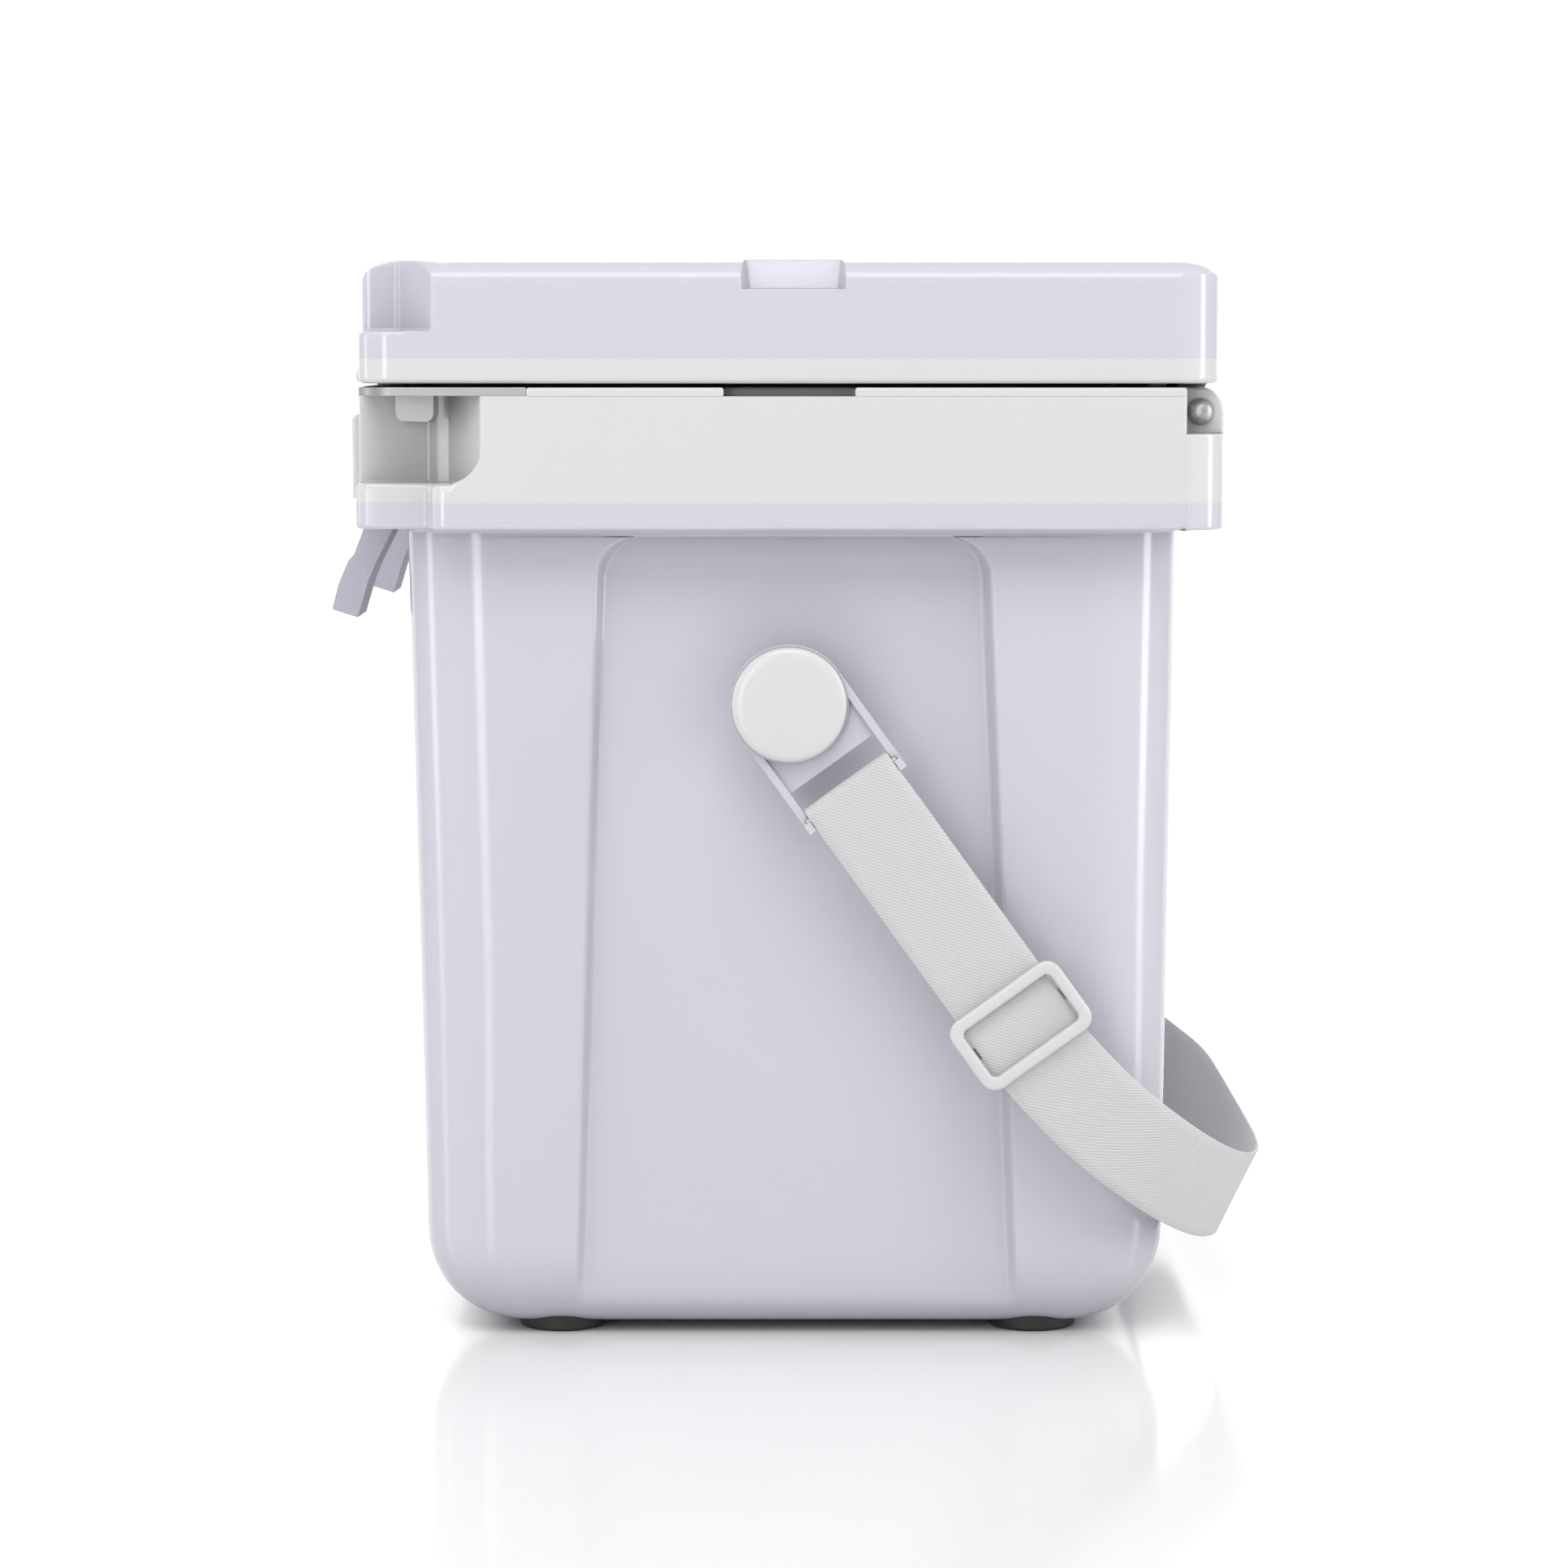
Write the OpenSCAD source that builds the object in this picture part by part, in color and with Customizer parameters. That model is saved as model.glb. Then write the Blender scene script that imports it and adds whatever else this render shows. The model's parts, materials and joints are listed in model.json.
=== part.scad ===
// Hard-sided cooler chest: foam-filled body, hinged lid, rubber T-latches, swinging carry strap.
// X runs across the chest (+ is the user's right), Y from the latches (-) to the hinge (+), Z up.
// The origin lies on the floor, under the middle of the rim.

/* [Chest] */
// Width over the rim
rim_w = 400; // [396:1:404]
// Rear face of the rim, from the middle
rim_rear = 163.2; // [163:0.1:164]
// Height of the rim's top face
rim_top = 363.9; // [363.5:0.1:364]
// Height of the rim collar's underside
rim_bottom = 310.6; // [308:0.1:312]
// Height where the white collar meets the coloured flange
rim_split = 320.8; // [319:0.1:322]
// Half width of the body under the rim
body_half_top = 184; // [183:0.5:185]
// Half width of the body near the floor
body_half_low = 179.8; // [179:0.1:181]
// Thickness of the outer skin
skin = 3; // [2.5:0.1:3.5]

/* [Cavity] */
// Width of the cavity's mouth
cavity_w = 308; // [304:1:310]
// Depth of the cavity's mouth
cavity_d = 229; // [226:1:230]
// Height of the cavity's floor
cavity_floor = 38; // [36:1:42]

/* [Lid] */
// Height of the lid's lower edge
lid_bottom = 365.3; // [365.2:0.1:365.8]
// Height where the white band meets the coloured top
lid_split = 374.5; // [374:0.1:376]
// Height of the lid's crown
lid_top_z = 410.5; // [409:0.5:412]
// Front face of the lid
lid_front = -161.3; // [-161.5:0.1:-161]
// Rear face of the lid
lid_rear = 161.2; // [161:0.1:161.4]

/* [Hinge] */
// Hinge pin centre, front to rear
hinge_y = 154.3; // [154.2:0.1:154.4]
// Hinge pin centre, height
hinge_z = 354.7; // [354.6:0.1:354.8]
// Hinge pin radius
hinge_pin_r = 4; // [3.5:0.1:4.2]
// Radius of the base's hinge barrel
barrel_r = 8.9; // [8.7:0.1:8.9]

/* [Latches] */
// Latch centre, from the middle of the chest
latch_x = 88; // [86:1:92]
// Width of the latch's strap
latch_w = 25; // [22:1:25]
// Width of the latch's T handle
latch_t = 40; // [36:1:42]
// Latch pin radius
latch_pin_r = 3; // [2.5:0.1:3.2]

/* [Strap] */
// Height of the strap's pivots
pivot_z = 246; // [244:1:248]
// Webbing width
web_w = 38; // [36:1:38]
// Webbing thickness
web_t = 1.5; // [1.3:0.1:1.5]
// Angle of the hanging strap below the horizontal
strap_angle = 54.2; // [54:0.1:55]
// Distance from the pivot to the bracket's crossbar
bar_reach = 40; // [39:0.5:41]
// Distance from the pivot to the middle of the slider
slider_reach = 149.6; // [147:0.1:151]

/* [Hidden] */

LAVENDER = [0.83, 0.82, 0.88];
WHITE = [0.90, 0.90, 0.90];
FOAM = [0.95, 0.90, 0.70];
STEEL = [0.62, 0.62, 0.63];
BRASS = [0.78, 0.65, 0.35];
RUBBER = [0.05, 0.05, 0.05];
LATCH = [0.74, 0.73, 0.80];
WEB = [0.86, 0.86, 0.87];

eps = 0.01;
far = 30;              // how far a cutter runs past a face
fit = 0.05;            // radial clearance of a running fit
foam_gap = 0.4;        // foam stands this far off the skins
half_w = rim_w / 2;
rim_front = -rim_rear;
fine = 64;

// Body
body_low_z = 40;       // height where the bottom's rounding ends
body_front_top = -143.5;
body_rear_top = 146.2;
body_front_low = -138.2;
body_rear_low = 142.9;
body_corner = 30;      // vertical corner radius
bottom_rx = 20;        // rounding of the bottom edge at the sides, inwards
bottom_ry = 32;        // rounding of the bottom edge at the front and rear, inwards
bottom_rz = 36.5;      // rounding of the bottom edge, upwards
bottom_steps = 5;
draft = atan((body_half_top - body_half_low) / (rim_bottom - body_low_z));
panel_deep = 6.5;      // depth of the side panel
panel_top = [-71.5, 74.5];     // front and rear edges of the panel at its top
panel_foot = [-80.5, 85.5];    // and at the floor

// Rim
rim_corner = 15;
notch_x = 186.5;       // the front corners are set back to here
notch_y = -133.9;
pad_half = 152;        // half width of the raised pad on the front
pad_front = -167.3;
pad_z = [318.6, 354.3];
pocket_z = 327.9;      // ledge of the corner pocket
pocket_round = 14;
pocket_plan = [[half_w + far, -190], [half_w + far, -115.0], [half_w, -115.0], [174, -128.6],
               [168, -135], [168, -190]];
finger_y = 24.4;       // half length of the rim's finger notch
finger_deep = 12;
finger_high = 3.3;

// Foam spaces in the collar
collar_wall = 6;       // plastic left round the cavity's mouth
collar_x = 180.5;      // outer limit of the side spaces
collar_y = [-140, 141];        // limits of the front and rear spaces
collar_side = [-100, 125];     // ends of the side spaces

// Lock plate
plate_t = 3.2;
plate_rear = -98.1;
plate_front = -161.5;
plate_in = 170;        // inner edge of the rear leg
plate_far_in = 150;    // inner edge of the front leg
plate_leg_y = -131;
plate_corner = 13;
lock_hole = [187, -149];
lock_hole_r = 5;
tab_at = [180.6, -140.2];        // middle of the opener tab, which faces the corner
tab_w = 22;
tab_t = 2.6;
tab_low = 350.8;       // lower edge of the tab
tab_corner = 4;
plate_screws = [[185, -107], [158, -146]];
screw_r = 2;

// Hinge
knuckle_out = 186;     // outer end of the base's outer knuckle
slot_out = 169;        // the lid's knuckle turns in a slot between these
slot_in = 117;
pin_in = 96;           // inner end of the pin's hole
side_play = 0.5;
pin_head_r = 5.2;      // radius of the pin's domed head
pin_head_sunk = 0.9;   // its centre lies this far inside the knuckle's end
lid_barrel_r = 8.5;
web_y = [147.2, 157.4];  // the knuckle's root under the lid

// Lid
lid_corner_rear = 18;
lid_corner_front = 10;
ledge_z = 384.8;       // ledge of the lid's front corner notches
lid_notch_plan = [[half_w + far, -133.1], [half_w, -133.1], [173, -147.1], [173, -190],
                  [half_w + far, -190]];
lid_rise = [[0, 26.5], [3, 31.5], [12, 34.6], [30, 36]];  // inset, height over the split
lid_skin = 4;
side_notch_y = [-18, 21];
side_notch_z = 400.4;
side_notch_deep = 9;
lip_upper = [[-155, 379.5], [-161, 379.5], [-163.4, 376.5], [-164.2, lid_split],
             [-155, lid_split]];
lip_lower = [[-155, lid_split], [-164.2, lid_split], [-165.6, 370.5], [-166, lid_bottom],
             [-155, lid_bottom]];
gasket_in = [159, 119.5];   // half sizes of the gasket's inner edge
gasket_w = 6;
gasket_top = 368.2;
plug_half = [148, 108];
plug_z = 352;
pan_top = 370.5;

// Latches
latch_pin_y = -153.5;
latch_pin_z = 388;
latch_barrel_r = 7.5;
recess_w = 27;         // width of the latch's recess in the lid
recess_back = -144.5;
recess_top = 398;
channel_w = 27;        // width of the latch's channel in the rim
channel_back = -149.4;
latch_strap = [[-161, 388], [-161.7, 364], [-163.2, 335], [-166.3, 309.2], [-154.4, 309.2],
               [-151.6, 335], [-150.9, 364], [-146.9, 384]];
latch_handle = [[-154.4, 309.2], [-166.3, 309.2], [-170.8, 297.4], [-173.1, 295.0],
                [-177.2, 285.2], [-179.5, 275.8], [-169.5, 272.6], [-165.2, 287],
                [-162.2, 294.0]];

// Pivots
panel_x = 176.6;       // face of the side panel at the pivots' height
boss_r = 15;
boss_seat = 199.3;     // the boss's shoulder
journal_r = 9;
journal_end = 206.9;
washer_t = 0.8;
hub_x = [200.3, 206.5];
hub_r = 22.2;
cap_r = 21.5;
cap_x = 206.9;
cap_rim = 1.6;
cap_dome = 2.6;
insert_r = 6;
insert_x = [158, 172];
bolt_r = 3;

// Strap
arm_t = 2.9;
arm_end = 4.2;         // the arms run this far past the crossbar
bar_cover = 3.4;       // and this far outside its centre line
skirt = [27.5, 4];     // length and thickness of the plate between the arms
bar_x = 205;
bar_r = 2;
ply_gap = 0.05;
ply_in = bar_x - bar_r - ply_gap - web_t;    // inner face of the inner ply
ply_out = bar_x + bar_r + ply_gap;           // inner face of the outer ply
slider_w = 47.4;
slider_l = 29.6;
slider_bar = 5;
slider_side = (slider_w - web_w - 0.6) / 2;
slider_x = [bar_x - 1.5, bar_x + 1.5, ply_out + web_t + 0.35, ply_out + web_t + 3.35];

// Centre line of the webbing from the slider to the middle of the back run, and the
// direction of its width there; the far half mirrors it.
run_start = [ply_out + web_t / 2, slider_reach * cos(strap_angle),
             pivot_z - slider_reach * sin(strap_angle)];
route = [run_start, [207.6, 99.5, 108.2], [206.8, 118, 88.5], [202.5, 135.5, 73.5],
         [190, 151.8, 61.5], [168, 165.6, 52.5], [140, 174.2, 48.3], [105, 177.6, 47], [50, 177.9, 47],
         [0, 177.9, 47]];
width_turn = [90 - strap_angle, 90 - strap_angle, 39, 44, 50, 57, 63, 65.8, 66, 66];

// Feet
foot_x = 150;
foot_y = [-88, 94.4];
foot_r = 17;
foot_top = 9;
foot_screw_r = 2.5;

// ---------------------------------------------------------------- helpers

// Rectangle between x = -w..w and y = y0..y1 with its own corner radii at the front and rear
module plan(w, y0, y1, r_front, r_rear) {
    translate([-w + r_front, y0]) square([2 * (w - r_front), r_front + eps]);
    translate([-w + r_rear, y1 - r_rear - eps]) square([2 * (w - r_rear), r_rear + eps]);
    translate([-w, y0 + r_front]) square([2 * w, y1 - y0 - r_front - r_rear]);
    for (s = [-1, 1]) {
        translate([s * (w - r_front), y0 + r_front]) circle(r_front, $fn = fine);
        translate([s * (w - r_rear), y1 - r_rear]) circle(r_rear, $fn = fine);
    }
}

// Straight-sided block on that plan
module block(w, y0, y1, r_front, r_rear, z0, z1)
    translate([0, 0, z0]) linear_extrude(z1 - z0) plan(w, y0, y1, r_front, r_rear);

// Thin corner discs of a rounded plan, to be hulled
module corners(w, y0, y1, r, z)
    for (sx = [-1, 1], y = [y0 + r, y1 - r])
        translate([sx * (w - r), y, z]) cylinder(r = r, h = eps, $fn = 32);

module both_sides() {
    children();
    mirror([1, 0, 0]) children();
}

// Rod along X from x0 to x1
module rod(r, x0, x1, y, z)
    translate([x0, y, z]) rotate([0, 90, 0]) cylinder(r = r, h = x1 - x0, $fn = fine);

// Outline in Y and Z, extruded along X from x0 to x1
module profile_x(points, x0, x1)
    translate([x0, 0, 0]) rotate([90, 0, 90]) linear_extrude(x1 - x0) polygon(points);

module on_side(side) {
    if (side > 0) children();
    else mirror([1, 0, 0]) children();
}

// ---------------------------------------------------------------- body

// Drafted body with a rounded bottom, shrunk all round by g and cut off at z1
module body_form(g, z1) hull() {
    corners(body_half_top - g, body_front_top + g, body_rear_top - g, body_corner - g, z1 - eps);
    for (i = [0:bottom_steps]) {
        a = 90 * i / bottom_steps;
        in_x = bottom_rx * (1 - cos(a)) + g;
        in_y = bottom_ry * (1 - cos(a)) + g;
        corners(body_half_low - in_x, body_front_low + in_y, body_rear_low - in_y,
                max(body_corner - in_x / 2, 6), body_low_z - bottom_rz * sin(a) + g * sin(a));
    }
}

// Side panel recess on the right, grown by g at its floor and edges
module panel_cut(g)
    translate([body_half_top, 0, rim_bottom]) rotate([0, draft, 0])
        translate([-panel_deep - g, 0, -rim_bottom])
            profile_x([[panel_top[0] - g, rim_bottom - 2 + g], [panel_top[1] + g, rim_bottom - 2 + g],
                       [panel_foot[1] + g, -5], [panel_foot[0] - g, -5]], 0, far);

module rim_outline() {
    plan(notch_x, rim_front, rim_rear, 5, rim_corner);
    plan(half_w, notch_y, rim_rear, 4, rim_corner);
}

module latch_channels(z0, z1)
    for (s = [-1, 1])
        translate([s * latch_x - channel_w / 2, -190, z0])
            cube([channel_w, 190 + channel_back, z1 - z0]);

module outer_body() color(LAVENDER) difference() {
    union() {
        body_form(0, rim_split);
        translate([0, 0, rim_bottom]) linear_extrude(rim_split - rim_bottom) rim_outline();
        profile_x([[-150, pad_z[0]], [pad_front, pad_z[0]], [pad_front, rim_split],
                   [-150, rim_split]], -pad_half, pad_half);
    }
    difference() {
        body_form(skin, rim_split + 1);
        both_sides() panel_cut(skin);
    }
    both_sides() panel_cut(0);
    latch_channels(rim_bottom - far, rim_split + far);
    both_sides() rod(insert_r, insert_x[0], panel_x + far, 0, pivot_z);
    for (sx = [-1, 1], y = foot_y) translate([sx * foot_x, y, 0]) {
        translate([0, 0, -1]) cylinder(r = foot_r + 0.3, h = foot_top - 1, $fn = fine);
        cylinder(r = foot_screw_r, h = 20, $fn = fine);
    }
}

// Tub's outside (g = skin) and inside (g = 0)
module tub_form(g, z0, z1) hull() {
    corners(cavity_w / 2 + g, -cavity_d / 2 - g, cavity_d / 2 + g, 30 + g, z1 - eps);
    corners(cavity_w / 2 - 4 + g, -cavity_d / 2 + 4 - g, cavity_d / 2 - 4 + g, 30 + g,
            z0 + 12);
    corners(cavity_w / 2 - 10 + g, -cavity_d / 2 + 10 - g, cavity_d / 2 - 10 + g, 24 + g, z0);
}

// Foam spaces inside the collar, shrunk by g
module collar_spaces(g) {
    z0 = rim_split - eps;
    z1 = rim_top - 5.5 - g;
    x0 = cavity_w / 2 + collar_wall + g;
    y0 = cavity_d / 2 + collar_wall + g;
    for (s = [-1, 1])
        translate([s > 0 ? x0 : -collar_x + g, collar_side[0] + g, z0])
            cube([collar_x - x0 - g, collar_side[1] - collar_side[0] - 2 * g, z1 - z0]);
    translate([-68 + g, collar_y[0] + g, z0]) cube([136 - 2 * g, -collar_y[0] - y0 - g, z1 - z0]);
    translate([-90 + g, y0, z0]) cube([180 - 2 * g, collar_y[1] - y0 - g, z1 - z0]);
}

module corner_pocket() intersection() {
    translate([0, 0, pocket_z]) linear_extrude(rim_top - pocket_z + far) polygon(pocket_plan);
    translate([160, 0, 0]) rotate([90, 0, 90]) linear_extrude(80) union() {
        translate([-190, pocket_z]) square([75 - pocket_round, rim_top - pocket_z + far]);
        translate([-190, pocket_z + pocket_round]) square([75, rim_top - pocket_z]);
        translate([-115 - pocket_round, pocket_z + pocket_round])
            circle(pocket_round, $fn = fine);
    }
}

// Plan of the right lock plate, grown by g
module plate_plan(g) difference() {
    union() {
        translate([plate_in - g, plate_front - g])
            square([half_w - plate_in + 2 * g, plate_rear - plate_front + 2 * g]);
        translate([plate_far_in - g, plate_front - g])
            square([half_w - plate_far_in, plate_leg_y - plate_front + 2 * g]);
    }
    difference() {
        translate([half_w - plate_corner, plate_front - far])
            square([plate_corner + far, plate_corner + far]);
        translate([half_w - plate_corner, plate_front + plate_corner])
            circle(plate_corner + g, $fn = fine);
    }
}

// Front view of the opener tab, rounded at its lower corners
module tab_outline() {
    translate([-tab_w / 2, tab_corner]) square([tab_w, rim_top - 1 - tab_low - tab_corner]);
    translate([tab_corner - tab_w / 2, 0]) square([tab_w - 2 * tab_corner, tab_corner + 1]);
    for (s = [-1, 1])
        translate([s * (tab_w / 2 - tab_corner), tab_corner]) circle(tab_corner, $fn = fine);
}

module inner_liner() color(WHITE) difference() {
    union() {
        difference() {
            union() {
                translate([0, 0, rim_split]) linear_extrude(rim_top - rim_split) rim_outline();
                profile_x([[-150, rim_split], [pad_front, rim_split], [pad_front, pad_z[1] - 3],
                           [pad_front + 3, pad_z[1]], [-150, pad_z[1]]], -pad_half, pad_half);
            }
            translate([-half_w - far, hinge_y, hinge_z]) cube([2 * (half_w + far), far, far]);
            collar_spaces(0);
        }
        rod(barrel_r, -knuckle_out, knuckle_out, hinge_y, hinge_z);
        tub_form(skin, cavity_floor - skin, rim_top - 5);
    }
    tub_form(0, cavity_floor, rim_top + 1);
    latch_channels(rim_split - far, rim_top + far);
    both_sides() {
        corner_pocket();
        translate([0, 0, rim_top - plate_t]) linear_extrude(far) plate_plan(0.2);
        for (p = plate_screws) translate([p[0], p[1], rim_top - 14])
            cylinder(r = screw_r, h = far, $fn = fine);
        translate([half_w - finger_deep, -finger_y, rim_top - finger_high])
            cube([far, 2 * finger_y, far]);
        translate([knuckle_out, 148.2, 346.6]) cube([far, far, far]);
        translate([slot_in, hinge_y - 9.3, hinge_z - 9.7]) cube([slot_out - slot_in, far, far]);
        rod(hinge_pin_r + fit, pin_in, knuckle_out + far, hinge_y, hinge_z);
    }
}

module body_foam() color(FOAM) difference() {
    union() {
        difference() {
            body_form(skin + foam_gap, rim_split);
            both_sides() panel_cut(skin + foam_gap);
        }
        collar_spaces(foam_gap);
    }
    tub_form(skin + foam_gap, cavity_floor - skin - foam_gap, rim_top);
    latch_channels(rim_bottom - far, rim_top);
    both_sides() rod(insert_r + 1, insert_x[0] - 2, panel_x + far, 0, pivot_z);
    for (sx = [-1, 1], y = foot_y) translate([sx * foot_x, y, 0])
        cylinder(r = foot_r + 2, h = 24, $fn = fine);
}

module lock_plate(side) color(STEEL) on_side(side) difference() {
    union() {
        translate([0, 0, rim_top - plate_t]) linear_extrude(plate_t) plate_plan(0);
        translate([tab_at[0], tab_at[1], tab_low]) rotate([90, 0, 45])
            linear_extrude(tab_t, center = true) tab_outline();
    }
    translate([lock_hole[0], lock_hole[1], rim_top - far])
        cylinder(r = lock_hole_r, h = 2 * far, $fn = fine);
    for (p = plate_screws) translate([p[0], p[1], rim_top - plate_t - 1]) {
        cylinder(r = screw_r + 0.3, h = far, $fn = fine);
        translate([0, 0, 2]) cylinder(r1 = screw_r + 0.3, r2 = screw_r + 2.5, h = 2.2, $fn = fine);
    }
}

module lock_plate_screws() color(STEEL) both_sides() for (p = plate_screws)
    translate([p[0], p[1], 0]) {
        translate([0, 0, rim_top - 13.5]) cylinder(r = screw_r - 0.05, h = 13, $fn = fine);
        translate([0, 0, rim_top - 2]) cylinder(r1 = screw_r, r2 = screw_r + 1.9, h = 1.9,
                                                $fn = fine);
    }

// Pin lying in the knuckles, with a domed head on its outer end
module hinge_pin(side) color(STEEL) on_side(side) {
    rod(hinge_pin_r, pin_in + 0.5, knuckle_out + 1, hinge_y, hinge_z);
    translate([knuckle_out + 0.1, hinge_y, hinge_z]) rotate([0, 90, 0]) rotate_extrude($fn = fine)
        intersection() {
            translate([0, -pin_head_sunk]) circle(pin_head_r, $fn = fine);
            square([6, 6]);
        }
}

module foot(sx, y) color(RUBBER) translate([sx * foot_x, y, 0]) difference() {
    union() {
        cylinder(r1 = foot_r - 1, r2 = foot_r, h = 1.5, $fn = fine);
        translate([0, 0, 1.5]) cylinder(r = foot_r, h = foot_top - 3.6, $fn = fine);
    }
    translate([0, 0, -1]) cylinder(r = 5.2, h = 4, $fn = fine);
    translate([0, 0, -1]) cylinder(r = foot_screw_r + 0.2, h = 20, $fn = fine);
}

module foot_screws() color(STEEL) for (sx = [-1, 1], y = foot_y)
    translate([sx * foot_x, y, 0]) {
        translate([0, 0, 1]) cylinder(r = 5, h = 1.9, $fn = fine);
        translate([0, 0, 2]) cylinder(r = foot_screw_r - 0.1, h = 16, $fn = fine);
    }

// ---------------------------------------------------------------- pivots

module pivot_boss(side) color(LAVENDER) on_side(side) difference() {
    union() {
        rod(boss_r, panel_x - 1.2, boss_seat, 0, pivot_z);
        rod(journal_r, boss_seat - 1, journal_end, 0, pivot_z);
    }
    rod(bolt_r + 0.2, panel_x - far, journal_end + 1, 0, pivot_z);
    translate([body_half_top, 0, rim_bottom]) rotate([0, draft, 0])
        translate([-panel_deep - far, -far, -rim_bottom]) cube([far, 2 * far, rim_bottom]);
}

module pivot_washers() color(WHITE) both_sides() difference() {
    rod(boss_r - 0.5, boss_seat + 0.05, boss_seat + 0.05 + washer_t, 0, pivot_z);
    rod(journal_r + 0.1, boss_seat - 1, boss_seat + 2, 0, pivot_z);
}

// Domed cap, held by the bolt that it covers
module pivot_cap(side) color(WHITE) on_side(side) translate([0, 0, pivot_z]) rotate([0, 90, 0])
    difference() {
        union() {
            translate([0, 0, cap_x + 0.1]) cylinder(r = cap_r, h = cap_rim, $fn = 96);
            translate([0, 0, cap_x + cap_rim + 0.1 - eps]) rotate_extrude($fn = 96)
                intersection() {
                    scale_r = (cap_r * cap_r + cap_dome * cap_dome) / (2 * cap_dome);
                    translate([0, cap_dome - scale_r]) circle(scale_r, $fn = 720);
                    square([cap_r, cap_dome + 1]);
                }
        }
        translate([0, 0, cap_x - 1]) cylinder(r = 6.2, h = 3.2, $fn = fine);
    }

module pivot_bolts() color(STEEL) both_sides() {
    rod(bolt_r, insert_x[0] + 2, cap_x + 0.2, 0, pivot_z);
    rod(6, journal_end + 0.05, cap_x + 1.9, 0, pivot_z);
}

module pivot_inserts() color(BRASS) both_sides() difference() {
    rod(insert_r - 0.1, insert_x[0] + 0.5, insert_x[1], 0, pivot_z);
    rod(bolt_r + 0.1, insert_x[0] - 1, insert_x[1] + 1, 0, pivot_z);
}

// ---------------------------------------------------------------- lid

// Crowned lid above the split, shrunk all round by g
module lid_form(g) hull() {
    corners(half_w - g, lid_front + g, lid_rear - g, 14 - g / 2, lid_split - sign(g));
    for (p = lid_rise)
        corners(half_w - p[0] - g, lid_front + p[0] + g, lid_rear - p[0] - g,
                max(14 - p[0] / 3, 6), lid_split + p[1] - g);
}

module latch_recess(g)
    for (s = [-1, 1]) translate([s * latch_x - recess_w / 2 - g, -190, lid_bottom - far])
        cube([recess_w + 2 * g, 190 + recess_back + g, recess_top - lid_bottom + far + g]);

// Corner notches over the lock ledges and the shallow notches in the top's side edges
module lid_notches() both_sides() {
    translate([0, 0, ledge_z]) linear_extrude(2 * far) polygon(lid_notch_plan);
    hull() {
        translate([half_w - side_notch_deep, side_notch_y[0] + 3, side_notch_z])
            cube([far, side_notch_y[1] - side_notch_y[0] - 6, eps]);
        translate([half_w - side_notch_deep - 5, side_notch_y[0], lid_top_z + 1])
            cube([far, side_notch_y[1] - side_notch_y[0], eps]);
    }
}

// Blocks that stay solid round the notches, grown by g
module notch_walls(g) both_sides() {
    translate([lock_hole[0] - 19 - g, -190, 300]) cube([80, 66 + g, 120]);
    translate([half_w - 21 - g, side_notch_y[0] - 6 - g, side_notch_z - 5 - g])
        cube([80, side_notch_y[1] - side_notch_y[0] + 12 + 2 * g, 60]);
}

module lock_bore(z0, z1)
    both_sides() translate([lock_hole[0], lock_hole[1], z0])
        cylinder(r = lock_hole_r, h = z1 - z0, $fn = fine);

module lid_top() color(LAVENDER) difference() {
    union() {
        lid_form(0);
        profile_x(lip_upper, -pad_half, pad_half);
    }
    difference() {
        lid_form(lid_skin);
        notch_walls(0);
        latch_recess(9);
    }
    lid_notches();
    latch_recess(0);
    lock_bore(lid_split - 1, ledge_z + 1);
    for (s = [-1, 1])
        rod(latch_pin_r + fit, s * latch_x - 20.2, s * latch_x + 20.2, latch_pin_y, latch_pin_z);
}

module lid_foam() color(FOAM) difference() {
    union() {
        intersection() {
            lid_form(lid_skin + foam_gap);
            translate([-half_w, -200, lid_split + foam_gap]) cube([rim_w, 400, 100]);
        }
        block(plug_half[0] - 3.3, -plug_half[1] + 3.3, plug_half[1] - 3.3, 18, 18,
              plug_z + 3.3, lid_split + 1);
    }
    notch_walls(foam_gap);
    latch_recess(9 + foam_gap);
}

module lid_liner() color(WHITE) difference() {
    union() {
        block(half_w, lid_front, lid_rear, lid_corner_front, lid_corner_rear, lid_bottom,
              lid_split);
        profile_x(lip_lower, -pad_half, pad_half);
        block(plug_half[0], -plug_half[1], plug_half[1], 20, 20, plug_z, lid_bottom + 1);
        both_sides() {
            rod(lid_barrel_r, slot_in + side_play, slot_out - side_play, hinge_y, hinge_z);
            translate([slot_in + side_play, web_y[0], hinge_z])
                cube([slot_out - slot_in - 2 * side_play, web_y[1] - web_y[0],
                      lid_bottom - hinge_z + 1]);
        }
    }
    block(half_w - 16, lid_front + 24, lid_rear - 10, 12, 12, pan_top, lid_split + 1);
    block(plug_half[0] - 3, -plug_half[1] + 3, plug_half[1] - 3, 18, 18, plug_z + 3,
          lid_split + 1);
    difference() {
        block(gasket_in[0] + gasket_w + 0.2, -gasket_in[1] - gasket_w - 0.2,
              gasket_in[1] + gasket_w + 0.2, 30, 30, lid_bottom - 1, gasket_top + 0.1);
        block(gasket_in[0] - 0.2, -gasket_in[1] + 0.2, gasket_in[1] - 0.2, 24, 24,
              lid_bottom - 2, gasket_top + 1);
    }
    latch_recess(0);
    lock_bore(lid_bottom - 1, lid_split + 1);
    both_sides() rod(hinge_pin_r + fit, slot_in - 1, slot_out + 1, hinge_y, hinge_z);
}

module lid_gasket() color(RUBBER) difference() {
    block(gasket_in[0] + gasket_w, -gasket_in[1] - gasket_w, gasket_in[1] + gasket_w, 29.8, 29.8,
          rim_top + 0.1, gasket_top);
    block(gasket_in[0], -gasket_in[1], gasket_in[1], 24, 24, rim_top - 1, gasket_top + 1);
}

// ---------------------------------------------------------------- latches

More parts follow.
